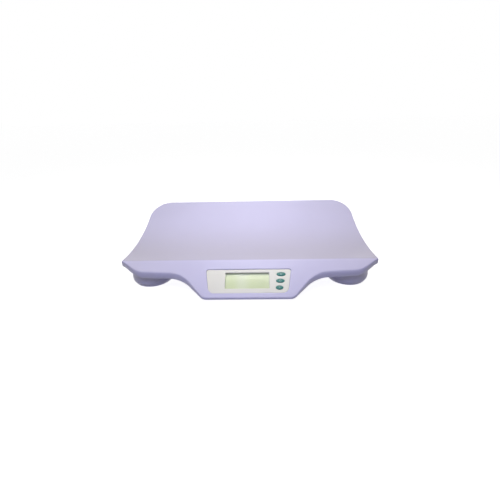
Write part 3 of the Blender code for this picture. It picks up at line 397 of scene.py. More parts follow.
def circuit_board():
    """Green solder mask over copper tracks: darker mask, lighter raised lines on a 45 degree maze."""
    finish = Finish("circuit_board")
    settings = {"voronoi_dimensions": "3D", "distance": "CHEBYCHEV", "feature": "F1"}
    cells = finish.add("ShaderNodeTexVoronoi", settings, {"Vector": finish.place, "Scale": 260.0})
    track = cells.step(0.30, 0.34) * (1 - cells.step(0.44, 0.48))
    tone = finish.blend(track, (0.015, 0.14, 0.05), (0.05, 0.30, 0.12))
    return finish.made(tone, track * 0.1 + finish.noise(90.0).step(0.3, 0.8) * 0.1 + 0.28, track, 0.04 * MM)


def display_glass():
    """Reflective liquid crystal: a pale yellow-green field, greener at its left end, with a faint cell grid and soft
    unevenness; painted light makes it lighter towards its top, and a pale upright band across it is a painted
    reflection.
    """
    finish = Finish("display_glass", coat_weight=0.4, coat_roughness=0.08)
    x, _, z = finish.parts()
    across = ((x - (LCD_X - LCD_VIEW[0] / 2)) / LCD_VIEW[0]).clamped()
    # Painted light: the field is lighter towards its top, as if lit from above
    up = ((z - 18 * MM) / (20 * MM)).clamped()
    field = finish.blend(up.step(0.0, 1.0), (0.72, 0.79, 0.48), (0.94, 0.98, 0.66))
    field = finish.blend(across.step(0.0, 0.35) * 0.25, (0.74, 0.82, 0.44), field)
    pixel = finish.noise(2600.0, 1.0)
    cloud = finish.noise(30.0, 3.0)
    field = finish.blend(cloud.step(0.35, 0.7) * 0.15, field, (0.80, 0.88, 0.54))
    # Painted reflection: a pale upright band part way across the field
    painted_reflection_band = across.step(0.18, 0.36) * (1 - across.step(0.40, 0.60))
    field = finish.blend(painted_reflection_band * 0.45, field, (0.92, 0.95, 0.78))
    return finish.made(field, pixel * 0.1 + 0.22, pixel, 0.004 * MM)


def clear_lens():
    """A clear window whose gloss grows towards grazing, with faint wipe marks."""
    finish = Finish("clear_lens", specular_ior_level=0.6)
    finish.set("Base Color", (0.92, 0.95, 0.86))
    sheen = finish.add("ShaderNodeLayerWeight", None, {"Blend": 0.35}, output="Fresnel")
    finish.set("Alpha", (sheen * 0.5 + 0.1).clamped())
    wipe = finish.noise(1.0, 3.0, 0.6, finish.moved((30, 200, 200), (0.3, 0, 0.5)))
    finish.set("Roughness", wipe.step(0.4, 0.8) * 0.1 + 0.04)
    return finish.material


def battery_sleeve():
    """A plain shrink sleeve: grey body and dark band by the mesh's mark, bright steel where it leaves the ends bare."""
    finish = Finish("battery_sleeve")
    kind = finish.add("ShaderNodeAttribute", {"attribute_name": "edge"}, output="Fac")
    bare = 1 - kind.step(0.2, 0.3)
    band = kind.step(0.7, 0.8)
    speck = finish.noise(240.0, 3.0)
    film = finish.noise(60.0, 3.0)
    tone = finish.blend(band, (0.36, 0.37, 0.40), (0.06, 0.07, 0.08))
    tone = finish.blend(speck.step(0.45, 0.9) * 0.3, tone, (0.5, 0.5, 0.52))
    tone = finish.blend(bare, tone, (0.66, 0.66, 0.67))
    finish.set("Metallic", bare)
    return finish.made(tone, speck * 0.15 + film * 0.1 + 0.2, film, 0.03 * MM)


LILAC_COLOUR = (0.60, 0.575, 0.80)
# Lilac plastic; its last colour is the painted shade of the trough behind the crest
LILAC = moulded("lilac_plastic", LILAC_COLOUR, 0.38, wear="edge", haze_and_painted_shade=(0.475, 0.445, 0.56))
LILAC_BASE = moulded("lilac_base_plastic", tuple(part * 0.97 for part in LILAC_COLOUR), 0.42, scuff=0.9)
WHITE = moulded("panel_plastic", (0.79, 0.775, 0.72), 0.33, grain=0.006 * MM)
GREY = moulded("grey_plastic", (0.30, 0.30, 0.33), 0.5, scuff=0.8)
BLACK = moulded("black_component", (0.03, 0.03, 0.035), 0.45, scuff=0.2)
MAT = rubber("mat_rubber", (0.72, 0.72, 0.70), 0.5)
TEAL = key_rubber()
PAD = rubber("pad_rubber", (0.045, 0.045, 0.05), 0.75)
WIRE = rubber("lead_sheath", (0.20, 0.20, 0.22), 0.45)
STEEL = steel("plated_steel", (0.60, 0.60, 0.62), 0.32)
BOARD = circuit_board()
GLASS = display_glass()
LENS = clear_lens()
SLEEVE = battery_sleeve()
# Solids with softened edges, and solids shown as they are
SOFT_FINISHES = {
    "lcd_holder": GREY,
    "keypad_mat": MAT,
    "main_board": BOARD,
    "main_chip": BLACK,
    "buzzer": BLACK,
    "front_contact": STEEL,
    "rear_contact": STEEL,
}
PLAIN_FINISHES = {
    "display_window": LENS,
    "lcd_panel": GLASS,
    "battery_lead": WIRE,
    **{f"load_cell_lead_{foot}": WIRE for foot in FEET},
}


# Making meshes

# Points this close are one, in a shell and in a solid
MERGE = 0.002 * MM
SOLID_MERGE = 0.005 * MM
# Degrees between faces: they shade as one below the first, are one below the second, get a bevel above the third
SMOOTH_BELOW = 38.0
FLAT_BELOW = 0.6
BEVEL_ABOVE = 40.0


def linked(name, data):
    """A new object in the scene."""
    obj = bpy.data.objects.new(name, data)
    bpy.context.scene.collection.objects.link(obj)
    return obj


class Shell:
    """Gathers grids of points for one mesh; seams close when its points are merged."""

    def __init__(self):
        self.points = []
        self.quads = []
        self.marks = []
        self.count = 0

    def grid(self, points, closed=False, mark=0.0):
        """Adds a grid of shape (rows, columns, 3), with one number or a grid of numbers as its edge mark.

        A closed grid joins its last column to its first.
        """
        shape = points.shape[:2]
        index = self.count + np.arange(math.prod(shape)).reshape(shape)
        self.count += index.size
        if closed:
            index = np.concatenate([index, index[:, :1]], axis=1)
        corners = (index[:-1, :-1], index[:-1, 1:], index[1:, 1:], index[1:, :-1])
        self.points.append(points.reshape(-1, 3))
        self.marks.append(np.broadcast_to(mark, shape).reshape(-1))
        self.quads.append(np.stack(corners, axis=-1).reshape(-1, 4))

    def piece(self, name, material, node, angle=SMOOTH_BELOW):
        """Makes the mesh: equal points merged, no face without area, all faces pointing outwards."""
        mesh = bpy.data.meshes.new(name)
        mesh.from_pydata(np.concatenate(self.points).tolist(), [], np.concatenate(self.quads).tolist())
        layer = mesh.attributes.new("edge", "FLOAT", "POINT")
        layer.data.foreach_set("value", np.concatenate(self.marks).astype(np.float32))
        bm = bmesh.new()
        bm.from_mesh(mesh)
        bmesh.ops.remove_doubles(bm, verts=bm.verts, dist=MERGE)
        bmesh.ops.dissolve_degenerate(bm, edges=bm.edges, dist=MERGE / 2)
        bmesh.ops.recalc_face_normals(bm, faces=bm.faces)
        bm.to_mesh(mesh)
        bm.free()
        dressed(name, mesh, material, node, angle)


def closed_piece(name, material, slot, node, grids, mark=0.0, angle=SMOOTH_BELOW):
    """One mesh of closed grids, all with one mark."""
    shell = Shell()
    for grid in grids:
        shell.grid(grid, closed=True, mark=mark)
    shell.piece(name, material, node, angle)


def dressed(name, mesh, material, node, angle=SMOOTH_BELOW):
    """Links a finished mesh in place of a solid, which it hides; it rides that solid's body."""
    mesh.shade_smooth()
    mesh.set_sharp_from_angle(angle=math.radians(angle))
    mesh.materials.clear()
    mesh.materials.append(material)
    obj = linked(name, mesh)
    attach(obj, body_of(node))
    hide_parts(node)
    return obj


def body_of(node):
    """The body that the record puts a node on."""
    return next(body for body, nodes in frame["record"]["behaviour"]["bodies"].items() if node in nodes)


def softened(node, material, width):
    """A copy of a solid with its triangles joined into whole faces and, for a width, its edges rounded."""
    mesh = frame["nodes"][node].data.copy()
    bm = bmesh.new()
    bm.from_mesh(mesh)
    bmesh.ops.remove_doubles(bm, verts=bm.verts, dist=SOLID_MERGE)
    bmesh.ops.dissolve_limit(bm, angle_limit=math.radians(FLAT_BELOW), verts=bm.verts, edges=bm.edges)
    bm.to_mesh(mesh)
    bm.free()
    obj = dressed(f"{node}_skin", mesh, material, node)
    if width:
        bevel = obj.modifiers.new("soft_edges", "BEVEL")
        bevel.width = width
        bevel.segments = 2
        bevel.limit_method = "ANGLE"
        bevel.angle_limit = math.radians(BEVEL_ABOVE)
        bevel.harden_normals = True
    obj.modifiers.new("even_faces", "WEIGHTED_NORMAL").keep_sharp = True


def bezier(points, steps):
    """A cubic Bezier curve: its four points weighed by the Bernstein polynomials."""
    t = np.linspace(0, 1, steps + 1)[:, None]
    a, b, c, d = np.array(points, dtype=float)
    return (1 - t) ** 3 * a + 3 * (1 - t) ** 2 * t * b + 3 * (1 - t) * t**2 * c + t**3 * d


def fillet(before, corner, after, radius, steps):
    """An arc of a radius that touches both sides of a corner."""
    before, corner, after = np.array([before, corner, after], dtype=float)
    to_before = (before - corner) / np.linalg.norm(before - corner)
    to_after = (after - corner) / np.linalg.norm(after - corner)
    half = np.arccos(np.clip(to_before @ to_after, -1, 1)) / 2
    bisector = to_before + to_after
    centre = corner + bisector / np.linalg.norm(bisector) * radius / np.sin(half)
    first = corner + to_before * radius / np.tan(half) - centre
    last = corner + to_after * radius / np.tan(half) - centre
    sweep = np.pi - 2 * half
    side = np.sign(first[0] * last[1] - first[1] * last[0])
    turns = side * sweep * np.linspace(0, 1, steps + 1)
    cosines, sines = np.cos(turns), np.sin(turns)
    return centre + spread(first[0] * cosines - first[1] * sines, first[0] * sines + first[1] * cosines)


def eased(corners, radius, steps=4):
    """An open profile through corners, each inner one turned with an arc."""
    arcs = [fillet(*trio, radius, steps) for trio in zip(corners, corners[1:], corners[2:])]
    return np.concatenate([corners[:1], *arcs, corners[-1:]])


def rounded_loop(corners, radii, steps=10):
    """A closed outline through corners, each turned with an arc: one radius for all, or one each."""
    around = [*corners[-1:], *corners, *corners[:1]]
    radii = np.broadcast_to(radii, len(corners))
    arcs = [fillet(*trio, radius, steps) for *trio, radius in zip(around, around[1:], around[2:], radii)]
    return np.concatenate(arcs)


def spread(*axes):
    """Points from their coordinates, each broadcast to the others' shape."""
    return np.stack(np.broadcast_arrays(*axes), axis=-1)


def circle(steps):
    """The cosines and sines of even turns round a circle."""
    turns = np.linspace(0, 2 * np.pi, steps, endpoint=False)
    return np.cos(turns), np.sin(turns)


def turned(profile, steps):
    """A profile (radius, height) turned about Z: (r cos t, r sin t, h)."""
    radius, height = np.asarray(profile, dtype=float).T[:, :, None]
    cosines, sines = circle(steps)
    return spread(radius * cosines, radius * sines, height)


def rolled(steps):
    """A quarter turn's rows (1 - sin t, 1 - cos t), and their edge marks sin(2 t)^2, strongest in the middle."""
    turns = np.linspace(0, np.pi / 2, steps)
    return np.stack([1 - np.sin(turns), 1 - np.cos(turns)], axis=-1), np.sin(2 * turns) ** 2


# The tray's surface


def surface_height(y):
    """The apron's plane, the bed's arc through the crest with its lowest line at the low run, and a Bezier ease."""
    run = np.asarray(y) - CREST_Y
    crest = math.sqrt(DISH_RADIUS**2 - DISH_LOW_RUN**2)
    bed = crest - np.sqrt(DISH_RADIUS**2 - (run - DISH_LOW_RUN) ** 2)
    apron = run * math.tan(APRON_TILT)
    front = -CREST_EASE * math.tan(APRON_TILT)
    back = crest - math.sqrt(DISH_RADIUS**2 - (CREST_EASE - DISH_LOW_RUN) ** 2)
    t = np.clip((run + CREST_EASE) / (2 * CREST_EASE), 0, 1)
    ease = (1 - t) ** 3 * front + (1 - t) ** 2 * t * front + (1 - t) * t**2 * back + t**3 * back
    height = np.where(run < -CREST_EASE, apron, np.where(run > CREST_EASE, bed, ease))
    return CREST_HEIGHT + height


def at_rim(y, sizes):
    """A size of the rim at a depth, straight between its stations."""
    return np.interp(y - CREST_Y, RIM_RUNS, sizes)


def tray_outline():
    """The right half of the outline in two runs of points: front centre to tip, and tip to back centre."""
    flank_top, tongue = np.array(FLANK_TOP), np.array([TONGUE_HALF, -APRON_RUN])
    flank = (flank_top - tongue) / np.linalg.norm(flank_top - tongue)
    tip = np.array([HALF_LENGTH, 0.0])
    horn = np.array([math.cos(HORN_ANGLE), math.sin(HORN_ANGLE)])
    front = np.concatenate(
        [
            [[0, -APRON_RUN]],
            fillet((0, -APRON_RUN), tongue, flank_top, TONGUE_CORNER, 30),
            bezier([flank_top, flank_top + flank * FLANK_EASE, (LIP_INNER[0] - LIP_EASE, LIP_INNER[1]), LIP_INNER], 40),
            bezier([LIP_OUTER, (LIP_OUTER[0] + HORN_EASE, LIP_OUTER[1]), tip - horn * HORN_LEAD, tip], 40),
        ]
    )
    corner = (HALF_LENGTH, BED_RUN)
    back = np.concatenate([[tip], fillet(tip, corner, (0, BED_RUN), BACK_CORNER, 40), [[0, BED_RUN]]])
    return front + (0, CREST_Y), back + (0, CREST_Y)


FRONT, BACK = tray_outline()


def inset_outline(wall, roll):
    """The outline's two runs moved inwards by a wall and a share of the roll's width.

    Each point slides along the mitre of its two sides.
    """
    half = np.concatenate([FRONT, BACK[1:]])
    distance = wall + roll * at_rim(half[:, 1], ROLL_WIDTHS)[:, None]
    loop = np.concatenate([[[-0.01, half[0, 1]]], half, [[-0.01, half[-1, 1]]]])
    along = np.diff(loop, axis=0)
    along /= np.linalg.norm(along, axis=1, keepdims=True)
    inward = spread(-along[:, 1], along[:, 0])
    before, after = inward[:-1], inward[1:]
    mitre = (before + after) / (1 + (before * after).sum(axis=1, keepdims=True))
    moved = half + distance * mitre
    return moved[: len(FRONT)], moved[len(FRONT) - 1 :]


# Columns of the tray's grid, as shares of the half length: close at the corners, wide where it is straight
TONGUE_SHARES = np.linspace(0, 0.22, 12)
WINDOW_SHARES = np.linspace(0.22, 0.345, 22)[1:]
FLANK_SHARES = np.linspace(0.345, 0.62, 30)[1:]
LIP_SHARES = np.linspace(0.62, 0.86, 14)[1:]
CORNER_SHARES = 1 - (1 - 0.86) * (1 - np.sin(np.linspace(0, np.pi / 2, 26)))[1:]
HALF_SHARES = np.concatenate([TONGUE_SHARES, WINDOW_SHARES, FLANK_SHARES, LIP_SHARES, CORNER_SHARES])
COLUMN_SHARES = np.concatenate([-HALF_SHARES[:0:-1], HALF_SHARES])
# The two columns beside the window
WINDOW_REACH = len(TONGUE_SHARES) + len(WINDOW_SHARES) - 1
LOW_COLUMN = len(HALF_SHARES) - 1 - WINDOW_REACH
HIGH_COLUMN = LOW_COLUMN + 2 * WINDOW_REACH
APRON_ROWS = 14
CREST_ROWS = 14
BED_ROWS = 44


def tray_grid(wall, roll=0.0):
    """Plan points of the tray's grid, inset by a wall and a share of the roll's width.

    Columns are shares of the half length; rows run from the front outline to the crest's ease, over
    it, and on to the back outline. Where the outline lies behind the ease, the rows meet in it.
    """
    front, back = inset_outline(wall, roll)
    x = COLUMN_SHARES * front[-1, 0]
    front_y = np.interp(np.abs(x), front[:, 0], front[:, 1])
    back_y = np.interp(np.minimum(np.abs(x), back[1, 0]), *back[:0:-1].T)
    ease_front = np.maximum(front_y, CREST_Y - CREST_EASE)
    ease_back = np.full_like(x, CREST_Y + CREST_EASE)
    lines = (front_y, ease_front, ease_back, back_y)
    counts = (APRON_ROWS, CREST_ROWS, BED_ROWS)
    rows = [np.linspace(near, far, count + 1)[1:] for near, far, count in zip(lines, lines[1:], counts)]
    return spread(x, np.concatenate([lines[:1], *rows]))


def boundary(grid):
    """A grid's edge points in order: front row, right column, back row, left column."""
    return np.concatenate([grid[0, :-1], grid[:-1, -1], grid[-1, :0:-1], grid[:0:-1, 0]])


def lifted(plan, depth=0.0):
    """Plan points laid a depth below the tray's surface."""
    return spread(plan[..., 0], plan[..., 1], surface_height(plan[..., 1]) - depth)


CONSOLE = np.array(Matrix.Translation((0, CREST_Y, CREST_HEIGHT)) @ Matrix.Rotation(APRON_TILT, 4, "X"))


def on_console(points):
    """World places of console places (across, drop, depth)."""
    return points * (1, -1, -1) @ CONSOLE[:3, :3].T + CONSOLE[:3, 3]


def at_depth(flat, depth):
    """World places of console outlines (across, drop) at a depth."""
    return on_console(spread(flat[..., 0], flat[..., 1], depth))


def panel_loop(grow):
    """The panel's outline (across, drop) grown by a distance, clockwise as the reader sees it."""
    slope = (PANEL_TOP_HALF - PANEL_BOTTOM_HALF) / (PANEL_BOTTOM - PANEL_TOP)
    side = grow * math.hypot(1, slope)
    top, bottom = PANEL_TOP - grow, PANEL_BOTTOM + grow
    top_half = PANEL_TOP_HALF + side + grow * slope
    bottom_half = PANEL_BOTTOM_HALF + side - grow * slope
    corners = [(-bottom_half, bottom), (bottom_half, bottom), (top_half, top), (-top_half, top)]
    return rounded_loop(corners, np.maximum(np.array(PANEL_CORNERS) + grow, 0.5 * MM))


def along_loop(loop, shares):
    """Points at shares of a closed outline's point count; an outline and its grown copies keep corner to corner."""
    ring = np.concatenate([loop, loop[:1]])
    places = np.asarray(shares) % 1.0 * len(loop)
    return spread(*(np.interp(places, np.arange(len(ring)), axis) for axis in ring.T))


def loop_shares(loop, targets):
    """Shares of a closed outline where rays from its middle to the targets cross it."""
    fine = along_loop(loop, np.linspace(0, 1, FINE_POINTS, endpoint=False))
    middle = (loop.min(axis=0) + loop.max(axis=0)) / 2
    fine_angles, angles = (np.arctan2(*(points - middle).T[::-1]) for points in (fine, targets))
    order = np.argsort(fine_angles)
    turns = np.unwrap(order / len(fine), period=1.0)
    lap = np.sign(turns[-1] - turns[0])
    span = np.concatenate([fine_angles[order] + turn for turn in (-2 * np.pi, 0, 2 * np.pi)])
    return np.interp(angles, span, np.concatenate([turns - lap, turns, turns + lap]))


def panel_shares(base, targets):
    """Shares of the panel's outline towards targets, with those nearest each corner spread evenly over its arc."""
    shares = loop_shares(base, targets)
    for corner in range(len(PANEL_CORNERS)):
        first, last = corner / len(PANEL_CORNERS), (corner + 1) / len(PANEL_CORNERS) - 1 / len(base)
        offset = (shares - (first + last) / 2 + 0.5) % 1 - 0.5
        count = max(CORNER_POINTS, np.count_nonzero(np.abs(offset) <= (last - first) / 2))
        near = np.argsort(np.abs(offset))[:count]
        shares[near[np.argsort(offset[near])]] = np.linspace(first, last, count)
    return shares


def window_points(outer, grow, depth):
    """The window's outline, grown and at a depth, with one point for each point of the outer loop."""
    drop = (CREST_Y - outer[:, 1]) / math.cos(APRON_TILT)
    shares = panel_shares(panel_loop(PANEL_GAP), spread(outer[:, 0], drop))
    return at_depth(along_loop(panel_loop(PANEL_GAP + grow), shares), depth)


def tray_skin():
    """The whole tray: top and underside grids, a rim profile carried round them, and the panel's window."""
    shell = Shell()
    outers = []
    for wall, roll, depth, grow in ((0.0, 1.0, 0.0, POCKET_EDGE), (SKIRT_WALL, 0.0, SKIN, 0.0)):
        plan = tray_grid(wall, roll)
        points = lifted(plan, depth)
        outer = boundary(plan[: APRON_ROWS + 1, LOW_COLUMN : HIGH_COLUMN + 1])
        outers.append(outer)
        shell.grid(points[: APRON_ROWS + 1, : LOW_COLUMN + 1])
        shell.grid(points[: APRON_ROWS + 1, HIGH_COLUMN:])
        shell.grid(points[APRON_ROWS:])
        inside = window_points(outer, grow, depth * math.cos(APRON_TILT))
        shell.grid(np.linspace(inside, lifted(outer, depth), 7), closed=True)
    rows, marks = rolled(7)
    window = [window_points(outers[0], *POCKET_EDGE * row) for row in rows]
    window.append(window_points(outers[1], 0.0, SKIN * math.cos(APRON_TILT)))
    shell.grid(np.array(window), closed=True, mark=np.append(marks, 0.0)[:, None])

    rings = []
    rows, marks = rolled(11)
    for roll, drop in rows:
        plan = boundary(tray_grid(0.0, roll))
        rings.append(lifted(plan, at_rim(plan[:, 1], ROLL_DROPS) * drop))
    # The skirt's foot: how far in, how far up, and its mark
    foot = np.array(
        [
            (0.0, FOOT_EASE, 0.6),
            (0.3 * FOOT_EASE, 0.3 * FOOT_EASE, 0.6),
            (FOOT_EASE, 0.0, 0.6),
            (SKIRT_WALL - FOOT_EASE, 0.0, 0.2),
            (SKIRT_WALL, FOOT_EASE, 0.2),
        ]
    )
    for inset, rise, _ in foot:
        plan = boundary(tray_grid(inset))
        rings.append(lifted(plan, at_rim(plan[:, 1], SKIRT_DEPTHS) - rise))
    rings.append(lifted(plan, SKIN))
    shell.grid(np.array(rings), closed=True, mark=np.concatenate([marks, foot[:, 2], [0.0]])[:, None])
    shell.piece("tray_skin", LILAC, "tray_shell", angle=50.0)


def tray_underside():
    """Ribs draped under the tray's overhanging back, z = surface(y) - depth, and bored posts for the screws."""
    shell = Shell()
    (foot, tip), end = RIB_HALVES, SKIN + RIB_DEPTH
    section = [(-foot, SKIN / 2), (-tip, end), (tip, end), (foot, SKIN / 2)]
    offset, depth = eased(section, RIB_ROUND).T
    y = CREST_Y + np.linspace(RIB_RUN, BED_RUN - SKIRT_WALL / 2, 24)
    y = np.concatenate([y[:1], y[:1] + RIB_NOSE, y[1:]])[:, None]
    draw_in = np.ones_like(y)
    draw_in[0] = 0.7
    for index in range(-RIB_PAIRS, RIB_PAIRS + 1):
        z = surface_height(y) - depth - RIB_NOSE * (draw_in - 1)
        rib = spread(index * RIB_PITCH + offset * draw_in, y, z)
        shell.grid(rib, closed=True)
        for row in (rib[0], rib[-1]):
            shell.grid(np.stack([row[: len(row) // 2], row[: len(row) // 2 - 1 : -1]]))
    profile = [(0, BORE_TOP), (BORE_RADIUS, BORE_TOP), (BORE_RADIUS, BOSS_BOTTOM), (BOSS_RADIUS, BOSS_BOTTOM)]
    profile = eased([*profile, (BOSS_RADIUS, BOSS_BOTTOM + 2 * MM)], 0.4 * MM)
    for across, run in BASE_SCREW_PLACES:
        post = turned(profile, 40) + (across, CREST_Y + run, 0)
        top = post[-1:].copy()
        top[..., 2] = surface_height(top[..., 1]) - SKIN / 2
        middle = np.broadcast_to(top.mean(axis=1, keepdims=True), top.shape)
        shell.grid(np.concatenate([post, top, middle]), closed=True)
    shell.piece("tray_underside", LILAC, "tray_shell")


def foot_pieces(foot):
    """The ring, the pressing cap and the grooved pad of one foot, each a turned profile."""
    across, run = FEET[foot]
    lip_top = RING_BOTTOM + RING_LIP
    ring = [(RING_OUTER_RADIUS, BOSS_TOP), (RING_OUTER_RADIUS, RING_BOTTOM), (RING_LIP_RADIUS, RING_BOTTOM)]
    ring += [(RING_LIP_RADIUS, lip_top), (RING_INNER_RADIUS, lip_top), (RING_INNER_RADIUS, BOSS_TOP)]
    ring = rounded_loop(ring, FOOT_ROUND, 4)
    ring = np.concatenate([ring, ring[:1]])
    cap = [(0, BOSS_TOP), (CAP_BOSS_RADIUS, BOSS_TOP), (CAP_BOSS_RADIUS, FLANGE_TOP), (CAP_FLANGE_RADIUS, FLANGE_TOP)]
    cap += [(CAP_FLANGE_RADIUS, FLANGE_BOTTOM), (CAP_RADIUS, FLANGE_BOTTOM), (CAP_RADIUS, CAP_BOTTOM), (0, CAP_BOTTOM)]
    rim = [(0, PAD_THICKNESS), (PAD_RADIUS, PAD_THICKNESS), (PAD_RADIUS, 0), (PAD_RADIUS - 2 * MM, 0)]
    sole = [(PAD_RADIUS, 0)]
    wide, narrow = GROOVE_HALVES
    for radius in GROOVE_RADII:
        offsets = ((wide, 0), (narrow, GROOVE_DEPTH), (-narrow, GROOVE_DEPTH), (-wide, 0))
        sole += [(radius + offset, rise) for offset, rise in offsets]
    dimple, rise = PAD_DIMPLE
    sole += [(dimple, 0), (dimple - PAD_ROUND, rise), (0, rise)]
    pad = np.concatenate([eased(rim, PAD_ROUND)[:-1], eased(sole, 0.2 * MM)[1:]])
    for kind, profile in (("ring", ring), ("cap", eased(cap, FOOT_ROUND)), ("pad", pad)):
        finish = (PAD, "pad_rubber") if kind == "pad" else (GREY, "grey_plastic")
        grid = turned(profile, 96) + (across, CREST_Y + run, 0)
        closed_piece(f"{kind}_{foot}", *finish, f"foot_{kind}_{foot}", [grid])


def screw_grids(radius, length, head_radius, head, pitch):
    """A pan head with a cross recess, and a threaded shank with a point.

    Head: z = depth (s^4 + cross(x, y)), where the cross is 1 where min(|x|, |y|) and max(|x|, |y|) are small.
    Thread: r = radius - ridge * |2 frac(z / pitch - t / 2 pi) - 1|, fading to nothing at both ends.
    """
    depth, point = 0.55 * head, 0.8 * pitch
    slot_half, slot_ease, arm_length, arm_ease = (share * head_radius for share in (0.17, 0.06, 0.62, 0.15))
    cosines, sines = circle(SCREW_STEPS)
    share = np.linspace(0, 1, 20)[:, None]
    x, y = head_radius * share * cosines, head_radius * share * sines
    narrow, far = np.minimum(np.abs(x), np.abs(y)), np.maximum(np.abs(x), np.abs(y))
    cross = np.clip((slot_half - narrow) / slot_ease + 0.5, 0, 1) * np.clip((arm_length - far) / arm_ease + 0.5, 0, 1)
    face = spread(x, y, depth * (share**4 + cross))
    side = turned([(head_radius, depth), (head_radius, head), (radius, head)], SCREW_STEPS)
    z = np.linspace(head, length - point, 90)[:, None]
    ridge = 0.22 * radius * np.abs(2 * ((z / pitch - np.arange(SCREW_STEPS) / SCREW_STEPS) % 1) - 1)
    fade = np.clip((z - head) / pitch, 0, 1) * np.clip((length - point - z) / (1.5 * pitch), 0, 1)
    core = radius - ridge * fade
    tip = turned([(radius, length - point), (0.6 * radius, length), (0, length)], SCREW_STEPS)
    return face, side, spread(core * cosines, core * sines, z), tip


def screws(kind, node, sizes, places, carry):
    """Screws, each made at the origin; carry takes its points to a place."""
    for number, place in enumerate(places, 1):
        grids = [carry(grid, place) for grid in screw_grids(*sizes)]
        closed_piece(f"{kind}_{number}", STEEL, "bright_steel", f"{node}_{number}", grids, angle=30.0)


def oval(across, drop, width, height):
    """An ellipse's outline: (a cos t, b sin t) about its middle."""
    cosines, sines = circle(KEY_STEPS)
    return spread(across + width / 2 * cosines, drop + height / 2 * sines)


def cell_border(left, right, high, low):
    """A cell's edge, each pair of the cells' lines parted evenly between, so neighbours share their points."""
    x, y = (
        np.concatenate([np.linspace(a, b, 24, endpoint=False) for a, b in zip(lines, lines[1:]) if first <= a < last])
        for lines, first, last in ((CELL_XS, left, right), (CELL_DROPS, high, low))
    )
    x, y = np.append(x, right), np.append(y, low)
    sides = [(x[:-1], low), (right, y[:0:-1]), (x[:0:-1], high), (left, y[:-1])]
    return np.concatenate([spread(*side) for side in sides])


def panel_openings():
    """Each opening as its outline for a grow, the rounding of its edge and the cell of the panel round it."""

    def display(grow):
        x, y = LCD_VIEW[0] / 2 + grow, LCD_VIEW[1] / 2 + grow
        corners = [(LCD_X + side * x, LCD_DROP + end * y) for side, end in ((-1, 1), (1, 1), (1, -1), (-1, -1))]
        return rounded_loop(corners, LCD_CORNER + grow, 6)

    def key_hole(key):
        across, drop, width = KEYS[key]
        return lambda grow: oval(across, drop, *(size + 2 * (KEY_SLIP + grow) for size in (width, KEY_HEIGHT)))

    openings = [(display, LCD_EDGE, (CELL_XS[0], CELL_XS[1], CELL_DROPS[0], CELL_DROPS[-1]))]
    for key, high, low in zip(KEYS, CELL_DROPS, CELL_DROPS[1:]):
        openings.append((key_hole(key), PANEL_EDGE, (CELL_XS[1], CELL_XS[2], high, low)))
    return openings


def panel_skin():
    """The white panel: flat faces from the outline through cells to each opening, rounded edges, flange and posts.

    Grids run along an outline in one direction and from rim to hole in the other.
    """
    shell = Shell()
    rows, marks = rolled(5)

    def faced(outline, edge, border, shares, mark, way=1):
        """Both faces between a border and an outline, and from face to face its rounded edge and its wall."""
        for depth, grow in ((PANEL_RECESS, edge), (PANEL_BACK, 0.0)):
            ends = (border, along_loop(outline(grow), shares))
            shell.grid(at_depth(np.linspace(*ends[::way], 4), depth), closed=True)
        levels = [*(edge * rows + (0, PANEL_RECESS)), (0.0, PANEL_BACK)]
        wall = [at_depth(along_loop(outline(grow), shares), depth) for grow, depth in levels]
        shell.grid(np.array(wall), closed=True, mark=mark)

    field = cell_border(CELL_XS[0], CELL_XS[-1], CELL_DROPS[0], CELL_DROPS[-1])
    shares = panel_shares(panel_loop(0), field)
    faced(lambda inset: panel_loop(-inset), PANEL_EDGE, field, shares, np.append(marks, 0.0)[:, None], way=-1)
    for outline, edge, cell in panel_openings():
        border = cell_border(*cell)
        faced(outline, edge, border, loop_shares(outline(0), border), 0.0)
    shares = np.linspace(0, 1, FLANGE_STEPS, endpoint=False)
    flange = [(FLANGE_REACH, FLANGE_FRONT), (FLANGE_REACH, FLANGE_BACK), (-FLANGE_INSET, FLANGE_BACK)]
    flange += [(-FLANGE_INSET, FLANGE_FRONT), (FLANGE_REACH, FLANGE_FRONT)]
    loops = [at_depth(along_loop(panel_loop(grow), shares), depth) for grow, depth in flange]
    shell.grid(np.array(loops), closed=True)
    root, floor = PANEL_BACK - 1 * MM, PANEL_BACK + PANEL_GAP
    post = [(0, root), (POST_RADIUS, root), (POST_RADIUS, POST_BACK), (POST_BORE, POST_BACK)]
    post = turned(eased([*post, (POST_BORE, floor), (0, floor)], 0.2 * MM), 32)
    for place in BOARD_SCREW_PLACES:
        shell.grid(on_console(post + (*place, 0)), closed=True)
    shell.piece("console_panel", WHITE, "display_bezel")


def key_cap(key):
    """A pillowed oval on a flanged neck: rings s (a cos t, b sin t) at heights top - sag s^4, s from 0 to 1."""
    across, drop, width = KEYS[key]
    short = KEY_HEIGHT / 2
    share = np.linspace(0, 1, 16)
    crown = np.stack([short * (1 - share), KEY_TOP - KEY_SAG * share**4], axis=1)
    neck = [(0, KEY_TOP - KEY_SAG - KEY_LAND), (0, -KEY_NECK_DEPTH), (-KEY_FLANGE, -KEY_NECK_DEPTH)]
    neck += [(-KEY_FLANGE, -KEY_BACK_DEPTH), (short, -KEY_BACK_DEPTH)]
    inset, height = np.concatenate([crown, eased(neck, 0.2 * MM)]).T[:, :, None]
    cosines, sines = circle(KEY_STEPS)
    x = (width / 2 - inset * np.where(inset > 0, width / KEY_HEIGHT, 1)) * cosines
    grid = on_console(spread(across + x, drop + (short - inset) * sines, -height))
    closed_piece(f"oval_key_{key}", TEAL, "teal_rubber", f"button_key_{key}", [grid])


